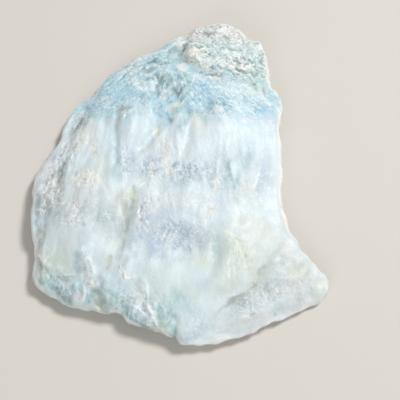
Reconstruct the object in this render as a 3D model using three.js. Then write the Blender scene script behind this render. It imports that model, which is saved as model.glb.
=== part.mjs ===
// A rough slab of larimar, the blue fibrous pectolite that fills gas pipes in basalt.
//
// It is one piece of stone. The underside is a flat saw cut, and the slab lies on it at z = 0.
// The upper face is the natural parting: a lumpy crust of wall rock at the north end, bundles of
// fibre that run down from it, a scalloped south-west corner and a thin flared tip in the
// south-east. All round, the edge is broken: it is widest at an arris part of the way up, and
// tucks in below that.
//
// Units are millimetres, +Z is up, +Y points to the crust, and the origin is under the middle
// of the slab's box.
import * as THREE from "three";
import { ImprovedNoise } from "three/addons/math/ImprovedNoise.js";

// ---------- Driving dimensions ----------
const CORE_THICKNESS = 8.0; // of the middle, away from every edge
const RIM_THICKNESS = 5.4; // where the upper face meets the broken edge
const SHOULDER_RUN = 13; // how far in from the edge the upper face is still rising
const ARRIS_HEIGHT = 2.7; // of the widest line of the edge above the saw cut
const CORNER_ROUND = 1.3; // how far in the worn upper corner reaches
const UNDERCUT = 1.7; // how far in the saw cut starts, on average
const FLARE = { tip: [33, -24], reach: 24, thickness: 3.7, arris: 1.6 }; // the thin corner
const FACET = 1.0; // side of a facet on the upper face

// The widest line of the slab, counterclockwise from the tip. Notches and steps are chips.
const OUTLINE = {
  flareToShoulder: [
    [32.7, -23.0], [31.8, -21.5], [30.3, -20.2], [28.9, -18.2], [26.4, -15.3], [24.5, -11.8],
    [23.2, -7.2], [22.9, -1.5], [23.2, 6.6], [22.7, 10.6], [22.9, 13.2], [23.4, 15.6],
    [23.0, 18.8], [21.9, 20.2],
  ],
  crustEnd: [
    [20.8, 21.7], [20.6, 25.4], [20.2, 28.3], [19.6, 30.3], [18.7, 32.2], [17.5, 32.8],
    [15.9, 32.9], [14.8, 34.6], [13.4, 35.8], [9.7, 37.0], [6.0, 36.6], [3.0, 35.8],
    [0.9, 34.3], [-0.5, 33.9],
  ],
  longArc: [
    [-4.6, 31.6], [-7.8, 30.1], [-11.0, 28.6], [-13.7, 26.3], [-18.2, 21.9], [-20.4, 19.3],
    [-23.9, 16.4], [-26.0, 12.1], [-27.0, 8.7], [-28.9, 5.7], [-31.4, 2.2],
  ],
  westEdge: [
    [-32.4, -1.5], [-32.7, -6.1], [-32.4, -12.2], [-31.4, -16.7], [-31.6, -18.4],
    [-31.6, -23.0], [-30.9, -24.1],
  ],
  chippedSouthEdge: [
    [-28.0, -26.1], [-23.7, -28.6], [-20.0, -29.3], [-15.1, -30.2], [-12.9, -30.1],
    [-12.4, -30.4], [-11.6, -31.6], [-6.9, -33.6], [-3.9, -34.4], [-0.9, -35.4],
    [-0.5, -36.1], [0.6, -36.6],
  ],
  undersideOfFlare: [
    [4.6, -37.0], [11.0, -35.7], [15.6, -34.4], [19.5, -32.4], [23.8, -30.8], [27.3, -29.1],
    [31.0, -27.2], [32.1, -26.1],
  ],
};

// Swellings and hollows of the upper face: middle, half-widths along X and Y, and height.
const SWELLINGS = [
  { at: [10, 28], half: [13, 12], height: 1.1 }, // the crust
  { at: [3.9, 28.8], half: [2.2, 3.0], height: 0.8 }, // a cream lump on its west side
  { at: [-5, 26], half: [8, 5], height: 0.8 }, // the crust's thin western wing
  { at: [-3.2, 20.8], half: [1.8, 2.4], height: 0.6 }, // a pale grain between two splits
  { at: [6, 16], half: [1.6, 2.6], height: -0.6 }, // a socket that a grain fell out of
  { at: [-9.5, 10], half: [4.2, 5.0], height: 0.7 }, // the brightest of the fibre bundles
  { at: [11, 7], half: [11, 10], height: 0.8 }, // the pale middle of the fan
  { at: [-21.1, -0.5], half: [3.0, 2.4], height: 0.5 }, // a ringed knot
  { at: [-18.5, -12], half: [9, 12], height: 1.1 }, // the bulge west of the stained fold
  { at: [1, -16], half: [9, 7], height: -0.7 }, // the grey saddle
  { at: [10, -22], half: [12, 6], height: 0.8 }, // the plate above the south-east step
  { at: [-26, -25], half: [6, 4], height: -0.8 }, // the scooped south-west corner
];

// Folds and splits between fibre bundles: a path, its half-width and its depth.
const FOLDS = [
  {
    path: [[-9.7, -5.0], [-10.5, -7.0], [-11.9, -14.8], [-13.1, -18.7], [-14.9, -21.7]],
    half: 2.2,
    rise: -0.8,
  },
  { path: [[-29.1, -6.8], [-29.6, -10.6], [-30.1, -15.0]], half: 1.3, rise: -0.7 },
  { path: [[-13.6, 15.3], [-14.0, 10.1], [-13.8, 2.0]], half: 1.4, rise: -0.6 },
  { path: [[-3.6, 11.3], [-6.4, 8.3], [-8.4, 5.5]], half: 1.4, rise: -0.7 },
  { path: [[1.5, 14.6], [2.2, 9.9]], half: 1.3, rise: -0.5 },
  { path: [[-1.2, 23.9], [-1.4, 20.8], [-0.5, 17.2]], half: 1.6, rise: -0.6 },
  { path: [[-4.2, 24.0], [-5.2, 19.6]], half: 1.4, rise: -0.4 },
  { path: [[1.6, 35.6], [1.0, 31.2], [0.1, 28.0]], half: 1.5, rise: -0.9 },
  { path: [[-16.9, -23.3], [-17.3, -25.9], [-16.3, -28.8]], half: 1.4, rise: -0.9 },
  { path: [[-12.6, -31.2], [-11.1, -28.3]], half: 1.4, rise: -0.8 },
  { path: [[-0.7, -31.5], [-0.7, -36.9]], half: 1.2, rise: -0.8 },
  { path: [[8.5, -15.9], [8.2, -18.7], [7.1, -21.7]], half: 2.2, rise: -0.4 },
];

// Proud ribs of fibre, in the same terms.
const RIBS = [
  { path: [[-19.8, -18.6], [-18.4, -22.2], [-18.8, -25.0], [-20.8, -28.6]], half: 1.5, rise: 0.8 },
  { path: [[-7.5, -24.1], [-6.2, -28.6], [-4.4, -33.5]], half: 1.6, rise: 0.8 },
];

// Broken steps: the ground right of each path lies lower, and climbs back over the run.
const LEDGES = [
  {
    path: [[5.5, -32.6], [10.1, -28.4], [13.2, -26.9], [15.6, -24.7], [17.8, -21.5], [19.5, -19]],
    drop: 0.55,
    run: 7,
  },
  {
    path: [[-29.6, -19.4], [-27.4, -21.1], [-24.9, -21.5], [-23.1, -23.3], [-20.6, -19.6]],
    drop: 0.9,
    run: 6,
  },
  { path: [[-12.8, -26.7], [-10.6, -27.6], [-8.0, -26.9]], drop: 0.5, run: 5 },
  { path: [[-19.6, 16.5], [-20.7, 14.3], [-23.2, 8.3], [-25.1, 0.4], [-25.8, -4.1]], drop: 0.7, run: 6 },
  { path: [[1.9, 27.3], [5.7, 23.9], [12.7, 22.4], [18.5, 20.0], [21.5, 18.3]], drop: 0.4, run: 6 },
];

// Slopes that fall away to the edge: the stretch of edge, the width and the fall.
const BEVELS = [
  { path: [[5, -37], [15.6, -34.4], [23.8, -30.8], [30, -27.6]], width: 3.4, fall: 1.7 },
  { path: [[-31.6, -15], [-31.6, -23.0]], width: 1.8, fall: 1.4 },
  { path: [[-28, -26.1], [-20, -29.3]], width: 2.6, fall: 1.0 },
  { path: [[-20.4, 19.3], [-26.0, 12.1], [-27.0, 8.7], [-31.4, 2.2]], width: 4.5, fall: 1.3 },
  { path: [[-4.6, 31.6], [-13.7, 26.3]], width: 2.4, fall: 1.0 },
  { path: [[22.9, 13], [22.9, -1.5], [24.5, -11.8]], width: 1.8, fall: 1.0 },
];

// Grain of the parting. Fibre bundles fan out from a point far to the north.
const FAN_CENTRE = [8, 110];
const FIBRE = { pitch: 3.6, length: 30, relief: 0.75, north: 14, south: -18 };
const CRUST = { border: 19, feather: 5, lump: 4.0, grain: 2.2, relief: 0.9 };
const WEATHERING = { scale: 9, relief: 0.5 };

// ---------- Small tools ----------
const perlin = new ImprovedNoise();
const { smoothstep, lerp, clamp } = THREE.MathUtils;

// Smooth noise between about -1 and 1. Each use has a layer of its own.
const noise = (x, y, scale, layer) => perlin.noise(x / scale, y / scale, layer + 0.5);

// Distance from a point to a path, and the side of it the point is on: 1 is the right.
function nearestOnPath(path, x, y) {
  let best = { distance: Infinity, side: 1 };
  for (let i = 0; i + 1 < path.length; i++) {
    const [ax, ay] = path[i];
    const dx = path[i + 1][0] - ax;
    const dy = path[i + 1][1] - ay;
    const t = clamp(((x - ax) * dx + (y - ay) * dy) / (dx * dx + dy * dy), 0, 1);
    const distance = Math.hypot(x - ax - t * dx, y - ay - t * dy);
    if (distance < best.distance) {
      best = { distance, side: Math.sign((x - ax) * dy - (y - ay) * dx) || 1 };
    }
  }
  return best;
}

const sumOver = (list, valueOf) => list.reduce((sum, item) => sum + valueOf(item), 0);

// ---------- The outline ----------
const outlineCurve = new THREE.CatmullRomCurve3(
  Object.values(OUTLINE).flat().map(([x, y]) => new THREE.Vector3(x, y, 0)),
  true,
  "centripetal",
);
const PERIMETER = outlineCurve.getLength();

// Points along a line that runs inside the outline at a fixed distance. Where the outline turns
// sharply, the points that would bunch up are left out.
function pointsInside(inset, spacing) {
  const count = Math.round(PERIMETER / spacing);
  const points = Array.from({ length: count }, (_, i) => {
    const at = outlineCurve.getPointAt(i / count);
    const along = outlineCurve.getTangentAt(i / count);
    return [at.x - inset * along.y, at.y + inset * along.x];
  });
  return points.filter(([x, y]) => inset === 0 || insetOf(x, y) > 0.95 * inset);
}

const arris = pointsInside(0, FACET);
const closedArris = [...arris, arris[0]];
const insetOf = (x, y) => nearestOnPath(closedArris, x, y).distance;

function isInside(x, y) {
  return arris.reduce((inside, [ax, ay], i) => {
    const [bx, by] = closedArris[i + 1];
    const crosses = ay > y !== by > y && x < ax + ((y - ay) / (by - ay)) * (bx - ax);
    return crosses ? !inside : inside;
  }, false);
}

// ---------- Heights ----------
const nearTip = (x, y) =>
  1 - smoothstep(Math.hypot(x - FLARE.tip[0], y - FLARE.tip[1]), 0, FLARE.reach);

const swelling = (x, y) =>
  sumOver(SWELLINGS, ({ at, half, height }) => {
    const reach = Math.hypot((x - at[0]) / half[0], (y - at[1]) / half[1]);
    return height * (1 - smoothstep(reach, 0.15, 1.25));
  });

const folding = (x, y) =>
  sumOver([...FOLDS, ...RIBS], ({ path, half, rise }) => {
    const { distance } = nearestOnPath(path, x, y);
    return rise * (1 - smoothstep(distance, 0, half));
  });

const stepping = (x, y) =>
  sumOver(LEDGES, ({ path, drop, run }) => {
    const { distance, side } = nearestOnPath(path, x, y);
    const below = side > 0 ? smoothstep(distance, 0, 0.9) * (1 - smoothstep(distance, 0.9, run)) : 0;
    return -drop * below;
  });

const bevelling = (x, y) =>
  sumOver(BEVELS, ({ path, width, fall }) => {
    const { distance } = nearestOnPath(path, x, y);
    return -fall * Math.max(0, 1 - distance / width);
  });

// Bundles are rounded and the splits between them are sharp, so this folds a smooth noise.
function fibreRelief(x, y) {
  const bearing = Math.atan2(x - FAN_CENTRE[0], FAN_CENTRE[1] - y);
  const across = bearing * (FAN_CENTRE[1] - FIBRE.north) + 1.6 * noise(x, y, 15, 3);
  const bundles = Math.abs(perlin.noise(across / FIBRE.pitch, y / FIBRE.length, 7.5));
  const fadeSouth = lerp(0.35, 1, smoothstep(y, FIBRE.south, FIBRE.south + 16));
  const fadeNorth = 1 - smoothstep(y, FIBRE.north, FIBRE.north + 6);
  return FIBRE.relief * fadeSouth * fadeNorth * (bundles - 0.25);
}

// The crust's border runs a little uphill to the west, and wanders.
function crustRelief(x, y) {
  const border = CRUST.border - 0.15 * x + 2 * noise(x, y, 7, 11);
  const strength = smoothstep(y, border - CRUST.feather, border);
  const lumps = 0.6 * noise(x, y, CRUST.lump, 17) + 0.4 * noise(x, y, CRUST.grain, 23);
  return CRUST.relief * strength * lumps;
}

const arrisHeight = (x, y) =>
  lerp(ARRIS_HEIGHT, FLARE.arris, nearTip(x, y)) + 0.8 * noise(x, y, 6, 37);

// The upper face. It rounds over to the arris within the worn corner.
function upperHeight(x, y) {
  const inset = insetOf(x, y);
  const tip = nearTip(x, y);
  const shoulder = lerp(RIM_THICKNESS, CORE_THICKNESS, smoothstep(inset, 0, SHOULDER_RUN));
  const face =
    lerp(shoulder, FLARE.thickness, tip) +
    (1 - tip) * (swelling(x, y) + fibreRelief(x, y)) +
    folding(x, y) +
    stepping(x, y) +
    bevelling(x, y) +
    crustRelief(x, y) +
    WEATHERING.relief * noise(x, y, WEATHERING.scale, 29);
  const foot = arrisHeight(x, y);
  const worn = clamp(inset / (CORNER_ROUND * (1 + 0.8 * noise(x, y, 5, 31))), 0, 1);
  return foot + Math.max(face - foot, 0.8) * Math.sqrt(1 - (1 - worn) ** 2);
}

// The tucked-in edge below the arris, which runs out into the saw cut.
function lowerHeight(x, y) {
  const reach = UNDERCUT * (1 + 0.6 * noise(x, y, 7, 41));
  const left = 1 - clamp(insetOf(x, y) / reach, 0, 1);
  return arrisHeight(x, y) * left ** 1.3;
}

// ---------- Joining points into triangles ----------
// Points sit on lines that follow the arris, where the surface turns over, and on a lattice
// that fills the middle.
function latticePoints(spacing, margin) {
  const points = [];
  const rowGap = (spacing * Math.sqrt(3)) / 2;
  for (let row = 0, y = -40; y < 40; row++, y = -40 + row * rowGap) {
    for (let x = -40 + (row % 2) * 0.5 * spacing; x < 40; x += spacing) {
      const jittered = [
        x + 0.3 * spacing * noise(x, y, 1.7, 51),
        y + 0.3 * spacing * noise(x, y, 1.7, 53),
      ];
      if (isInside(...jittered) && insetOf(...jittered) > margin) points.push(jittered);
    }
  }
  return points;
}

function withCircle(points, corners) {
  const [[ax, ay], [bx, by], [cx, cy]] = corners.map((i) => points[i]);
  const twiceArea = 2 * ((bx - ax) * (cy - ay) - (by - ay) * (cx - ax));
  const bb = (bx - ax) ** 2 + (by - ay) ** 2;
  const cc = (cx - ax) ** 2 + (cy - ay) ** 2;
  const dx = ((cy - ay) * bb - (by - ay) * cc) / twiceArea;
  const dy = ((bx - ax) * cc - (cx - ax) * bb) / twiceArea;
  return { corners, x: ax + dx, y: ay + dy, radius: Math.hypot(dx, dy) };
}

// Delaunay's triangles: no point lies inside the circle through another triangle's corners.
// Points are added from west to east. Each one replaces the triangles whose circle it is in by
// a fan to the border of the hole they leave. A circle wholly to the west is finished with.
function triangulate(given) {
  const far = given.length;
  const points = [...given, [-900, -900], [900, -900], [0, 900]];
  const fromWest = given.map((_, i) => i).sort((a, b) => points[a][0] - points[b][0]);
  const finished = [];
  let open = [withCircle(points, [far, far + 1, far + 2])];
  for (const p of fromWest) {
    const [x, y] = points[p];
    const border = new Map();
    open = open.filter((triangle) => {
      if (triangle.x + triangle.radius < x) {
        finished.push(triangle);
        return false;
      }
      if (Math.hypot(x - triangle.x, y - triangle.y) > triangle.radius) return true;
      const [a, b, c] = triangle.corners;
      for (const [from, to] of [[a, b], [b, c], [c, a]]) {
        const isShared = border.delete(`${to},${from}`);
        if (!isShared) border.set(`${from},${to}`, [from, to]);
      }
      return false;
    });
    open.push(...[...border.values()].map((edge) => withCircle(points, [...edge, p])));
  }
  return [...finished, ...open]
    .map(({ corners }) => corners)
    .filter((corners) => {
      const middle = [0, 1].map((axis) => sumOver(corners, (i) => points[i][axis]) / 3);
      return corners.every((i) => i < far) && isInside(...middle);
    });
}

// ---------- The mesh ----------
// Both faces use the arris points themselves, so the two halves close into one body.
const vertices = arris.map(([x, y]) => [x, y, arrisHeight(x, y)]);
const triangles = [];

function addFace(innerPoints, heightAt, facingUp) {
  const firstInner = vertices.length - arris.length;
  for (const [x, y] of innerPoints) vertices.push([x, y, heightAt(x, y)]);
  for (const corners of triangulate([...arris, ...innerPoints])) {
    const [a, b, c] = corners.map((i) => (i < arris.length ? i : i + firstInner));
    triangles.push(...(facingUp ? [a, b, c] : [a, c, b]));
  }
}

const upperPoints = [
  ...[0.3, 0.8, 1.6].flatMap((inset) => pointsInside(inset, FACET)),
  ...latticePoints(FACET, 1.6 + 0.7 * FACET),
];
const lowerPoints = [
  ...[0.5, 1.1, 1.8, 2.7].flatMap((inset) => pointsInside(inset, (1 + 0.4 * inset) * FACET)),
  ...latticePoints(8, 6),
];
addFace(upperPoints, upperHeight, true);
addFace(lowerPoints, lowerHeight, false);

const geometry = new THREE.BufferGeometry();
geometry.setAttribute("position", new THREE.Float32BufferAttribute(vertices.flat(), 3));
geometry.setIndex(triangles);
geometry.computeVertexNormals();

const stone = new THREE.MeshStandardMaterial({ color: 0xd5e3e6, roughness: 0.55, metalness: 0 });
const slab = new THREE.Mesh(geometry, stone);
slab.name = "larimar_slab";

const larimar = new THREE.Group();
larimar.add(slab);
export default larimar;
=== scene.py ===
# %% [markdown]
# # A rough slab of larimar
# Larimar is the blue form of pectolite, a mineral that grows as sprays of fine fibres inside old
# gas pipes in basalt. This slab is one palm-size piece: a flat sawn underside, a broken rim, and
# on top the natural parting, where bundles of fibre run down from a grainy crust of wall rock.
#
# The lesson starts from a measured model of the slab. The model has the right shape and size but
# only millimetre-size facets, so here we give it its fine relief and its colours.

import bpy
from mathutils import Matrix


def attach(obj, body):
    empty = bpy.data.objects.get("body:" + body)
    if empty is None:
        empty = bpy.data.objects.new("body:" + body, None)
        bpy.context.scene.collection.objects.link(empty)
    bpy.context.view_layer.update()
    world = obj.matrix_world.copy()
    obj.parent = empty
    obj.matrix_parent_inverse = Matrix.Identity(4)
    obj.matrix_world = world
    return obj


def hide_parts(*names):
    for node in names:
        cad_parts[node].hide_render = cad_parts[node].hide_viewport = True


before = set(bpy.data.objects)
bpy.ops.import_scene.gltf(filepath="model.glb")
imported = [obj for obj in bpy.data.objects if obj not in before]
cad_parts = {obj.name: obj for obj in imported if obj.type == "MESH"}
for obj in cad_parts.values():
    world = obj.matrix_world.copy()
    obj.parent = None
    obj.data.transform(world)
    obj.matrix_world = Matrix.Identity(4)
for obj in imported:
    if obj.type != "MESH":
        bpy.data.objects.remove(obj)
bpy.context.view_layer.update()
print("pieces of the measured model:", list(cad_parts))

# %% [markdown]
# ## Working in millimetres
# Blender's units are metres, which are awkward for a stone that fits in a palm. All positions and
# sizes below are written in millimetres, and are turned into metres where they meet Blender. X
# counts towards the east of the slab, Y towards its north and Z upwards.

# %% Imports, the millimetre and a way to report
from math import cos, radians, sin

import bpy
import numpy as np
from mathutils import Vector, kdtree, noise

MM = 0.001


def show(title, values):
    print(f"{title}: {values.min():.2f} to {values.max():.2f}, mean {values.mean():.2f}")


# %% [markdown]
# ## The skin
# The measured model is kept as it is, so that its sizes can always be trusted. We copy its
# mesh into a new object and work on the copy. Its triangles come loose, so their corners are
# merged first. Subdividing splits each one-millimetre facet into sixteen, which is fine enough
# for single grains. The sawn underside is flat already, and is left out to save faces.

# %% Copy, merge and subdivide
SAME_PLACE = 0.001 * MM
SAW_CUT = 0.01 * MM
CUTS_PER_EDGE = 3

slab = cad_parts["larimar_slab"]
stone = bpy.data.objects.new("larimar_stone", slab.data.copy())
bpy.context.scene.collection.objects.link(stone)
bpy.ops.object.select_all(action="DESELECT")
stone.select_set(True)
bpy.context.view_layer.objects.active = stone
mesh = stone.data

bpy.ops.object.mode_set(mode="EDIT")
bpy.ops.mesh.select_mode(type="FACE")
bpy.ops.mesh.select_all(action="SELECT")
bpy.ops.mesh.remove_doubles(threshold=SAME_PLACE)
bpy.ops.mesh.select_all(action="DESELECT")
bpy.ops.object.mode_set(mode="OBJECT")
for face in mesh.polygons:
    face.select = face.center.z > SAW_CUT
bpy.ops.object.mode_set(mode="EDIT")
bpy.ops.mesh.subdivide(number_cuts=CUTS_PER_EDGE)
bpy.ops.mesh.select_all(action="DESELECT")
bpy.ops.object.mode_set(mode="OBJECT")
print("corners after subdividing:", len(mesh.vertices))

# %% [markdown]
# ## Painting weights by place
# Sculpting by hand would mean painting where each kind of relief goes. Here a few small functions
# do the painting: each gives every corner of the mesh a weight from 0 to 1 from its position.
# A weight can then drive a Displace modifier, which pushes the surface along its normals, or be
# stored as an attribute that the material reads.

# %% Positions, soft thresholds and smooth noise
SEED_STEP = Vector((17.3, 5.1, 9.7))
NOISE_CONTRAST = 0.7


def corners():
    flat = np.empty(len(mesh.vertices) * 3)
    mesh.vertices.foreach_get("co", flat)
    return flat.reshape(-1, 3) / MM


def soften(values, low, high):
    """0 below low, 1 above high, and a smooth ramp between."""
    t = np.clip((values - low) / (high - low), 0, 1)
    return t * t * (3 - 2 * t)


def ripple(points, size, seed):
    """Smooth noise from 0 to 1, with lumps of about the size given."""
    shift = SEED_STEP * seed
    raw = [noise.noise(Vector(p) / size + shift) for p in points]
    return np.clip(0.5 + NOISE_CONTRAST * np.array(raw), 0, 1)


# %% Weights in soft spots, whose edges are given as parts of their size
SPOT_FULL_TO = 0.35
SPOT_ENDS_AT = 1.5


def patches(spots, points):
    """Soft ellipses: x, y, half-length, half-width, strength, and a tilt in degrees if turned."""
    total = np.zeros(len(points))
    for x, y, half_length, half_width, strength, *tilt in spots:
        angle = radians(tilt[0]) if tilt else 0.0
        c, s = cos(angle), sin(angle)
        dx, dy = points[:, 0] - x, points[:, 1] - y
        reach = np.hypot((dx * c + dy * s) / half_length, (dy * c - dx * s) / half_width)
        total = np.maximum(total, strength * (1 - soften(reach, SPOT_FULL_TO, SPOT_ENDS_AT)))
    return total


# %% Turn weights into relief
LEAST_MOVE = 0.001


def push(name, heights):
    """Moves the surface out along its normals by heights in millimetres, or in where below 0."""
    for way in (1, -1):
        amounts = np.maximum(way * heights, 0)
        most = amounts.max()
        if most < LEAST_MOVE:
            continue
        group = stone.vertex_groups.new(name=name)
        for i in np.flatnonzero(amounts > LEAST_MOVE):
            group.add([int(i)], amounts[i] / most, "REPLACE")
        relief = stone.modifiers.new(name, "DISPLACE")
        relief.vertex_group = group.name
        relief.mid_level = 0
        relief.strength = way * most * MM
        bpy.ops.object.modifier_apply(modifier=relief.name)
    show(name, heights)


# %% [markdown]
# ## Rounding the facets
# A Smooth modifier relaxes the facets of the measured model into soft stone. Its weight fades to
# nothing at the saw cut, so the underside stays flat and the slab still stands on it.

# %% Smooth everything but the saw cut
HELD_BELOW = 0.05
FREE_ABOVE = 0.7

free = soften(corners()[:, 2], HELD_BELOW, FREE_ABOVE)
group = stone.vertex_groups.new(name="free")
for i, weight in enumerate(free):
    group.add([i], float(weight), "REPLACE")
relax = stone.modifiers.new("relax", "SMOOTH")
relax.factor = 0.5
relax.iterations = 9
relax.vertex_group = "free"
bpy.ops.object.modifier_apply(modifier=relax.name)
at = corners()
east, north, up = at.T
show("height", up)

# %% [markdown]
# ## Which way the fibres run
# Below the blue band the fibres hang almost straight down, as if they all came from a point far
# north of the slab. In the band itself they spread from a short line just under the crust. Each
# corner gets two sets of fibre coordinates, one for each of these sprays: how far across the
# fibres it lies, and how far along them. Noise stretched along those coordinates looks like
# fibre. Two broad noises make the fibres wander and flutter a little.

# %% Fibre coordinates
HANG = {"from": (8, 110), "reach": 96, "wander": 3.0, "flutter": 0.8}
SPREAD = {"middle": -3, "top": 26.2, "widening": 0.8, "typical": 7.4, "lengthened": 1.6,
          "wander": 2.4, "flutter": 1.0}

wander = ripple(at, size=9, seed=1) - 0.5
flutter = ripple(at, size=3, seed=15) - 0.5
dx, dy = east - HANG["from"][0], HANG["from"][1] - north
across = np.arctan2(dx, dy) * HANG["reach"] + HANG["wander"] * wander + HANG["flutter"] * flutter
hanging = np.column_stack([across, np.hypot(dx, dy), up])
below = np.maximum(SPREAD["top"] - north, 0)
across = (east - SPREAD["middle"]) * SPREAD["typical"] / (1 + SPREAD["widening"] * below)
across = across + SPREAD["wander"] * wander + SPREAD["flutter"] * flutter
spreading = np.column_stack([across, below * SPREAD["lengthened"], up])
show("across the hanging fibres", hanging[:, 0])

# %% [markdown]
# ## Ragged borders
# No border on a broken stone is a clean line. Positions that noise has moved a little are kept
# beside the true ones, and a border that is drawn through them comes out ragged. Narrow tongues
# along the fibres make it fringed as well. The crust ends along a drawn line, and the blue
# band below it along a hem that bends in the east.

# %% Positions for ragged borders
TONGUE_LENGTH = 3.0
TONGUE_SHAPE = (1, 0.08, 1)


def wobbled(points, amount, size, seeds):
    """Points moved east and north by noise, which is read at the corners' true positions."""
    moved = points.copy()
    for axis, seed in enumerate(seeds):
        moved[:, axis] += amount * (ripple(at, size, seed) - 0.5)
    return moved


ragged = wobbled(at, amount=1.6, size=2.6, seeds=(2, 4))
ragged[:, 1] += TONGUE_LENGTH * (ripple(hanging * TONGUE_SHAPE, size=0.9, seed=6) - 0.5)
frayed = wobbled(ragged, amount=3.0, size=7, seeds=(3, 5))
gentle = at * 0.4 + ragged * 0.6
wavy = at * 0.7 + ragged * 0.3
show("ragged north", ragged[:, 1])

# %% Where the crust and the band lie
CRUST_BORDER = [(-3, 36), (0.6, 30), (2.6, 24.4), (6, 22.4), (12, 22), (17, 22.4), (20, 20.5),
                (24, 18)]
HEM = {"lean": 0.05, "bends east of": 6, "bend": 0.12, "ends": 10.5, "full": 15.5}

border_x, border_y = np.array(CRUST_BORDER).T
above_border = frayed[:, 1] - np.interp(frayed[:, 0], border_x, border_y)
crust = soften(above_border, low=-1.2, high=1.0)
past_bend = np.maximum(frayed[:, 0] - HEM["bends east of"], 0)
hem = frayed[:, 1] + HEM["lean"] * frayed[:, 0] - HEM["bend"] * past_bend
band = soften(hem, HEM["ends"], HEM["full"]) * (1 - crust)
top_facing = soften(up, low=2.5, high=4.5)
show("crust", crust)
show("band", band)

# %% [markdown]
# ## Zones of colour
# The colours lie in soft zones that follow the growth of the stone. A smooth ramp from one end to
# the other would look painted, so each zone is a list of soft ellipses that overlap and leave
# gaps. A row gives an ellipse's centre, its half-length and half-width, its strength and, if it
# is turned, its tilt.
#
# Copper gives the blue. It is strongest in the band under the crust, and turns to teal in the
# hollows there, in the south-west corner and between the bundles.

# %% Blue and teal zones
BLUE = [
    (-17.4, 17, 3, 1.6, 0.5, 25), (-12.7, 18.7, 2.6, 1.6, 0.4, 20), (-15, 20.6, 2.2, 0.9, 0.5, 40),
    (-10.3, 18.7, 1.1, 1.3, 0.6), (-7.2, 21.8, 1.3, 0.7, 0.6), (-4.7, 17.3, 1.5, 2.2, 0.5),
    (-1.8, 17.3, 1.5, 1.1, 0.7), (5, 19.2, 2.2, 2, 1, -20), (5.7, 16.6, 1.7, 1.1, 0.7),
    (9.9, 16.3, 1.9, 1.1, 1, -25), (7.9, 20.1, 1.7, 0.9, 0.5, -30), (18.3, 14.9, 1.9, 1.1, 0.9, -20),
    (20.1, 15.9, 1.7, 0.9, 0.5, -10), (15, 17, 1.7, 0.7, 0.7, -25), (13.5, 21.8, 2.2, 0.7, 0.4, -13),
    (-3.6, 12.8, 1.5, 1.6, 0.8, -30), (-5.1, 15.2, 1.1, 1.8, 0.6, -10), (-7.4, 17.3, 1.1, 0.9, 0.6),
    (-10.4, 11.6, 2.2, 2.7, 0.25, 5), (17.8, 10.9, 3.9, 2, 0.25), (-13.6, 17.3, 1.3, 1.1, 0.4),
    (2.4, 15.9, 1.7, 1.3, 0.4), (-7.1, 10.2, 1.5, 4.5, 0.25, 5), (16.7, 7.9, 3.5, 3.6, 0.15),
    (-4.2, 13.5, 1.3, 2, 0.6, -10), (-16.4, 14.4, 1.7, 1.3, 0.3), (-16.9, 16.6, 1.7, 1.6, 0.5),
    (-3.2, 16.8, 1.1, 1.1, 0.5), (16.8, 16.6, 2.6, 0.9, 0.35, -20), (15, 17.7, 1.3, 0.9, 0.65, -30),
    (18.3, 16.1, 1.3, 0.9, 0.65, -30), (9, 15.9, 1.3, 1.1, 0.55), (9, 13.5, 0.9, 0.9, 0.35),
    (-6.5, 20.6, 1.1, 1.1, 0.85), (6.8, 11.6, 0.9, 1.1, 0.3), (-11.2, -25.1, 1.9, 1.1, 0.25),
    (12.1, 12.3, 2.2, 0.9, 0.35, -10), (-2, 11.2, 0.9, 1.1, 0.4), (13.4, 10.2, 1.9, 1.1, 0.3),
    (-2.1, 18.2, 1.1, 1.1, 0.4), (15.7, 18.2, 1.3, 1.1, 0.4),
]
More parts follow.
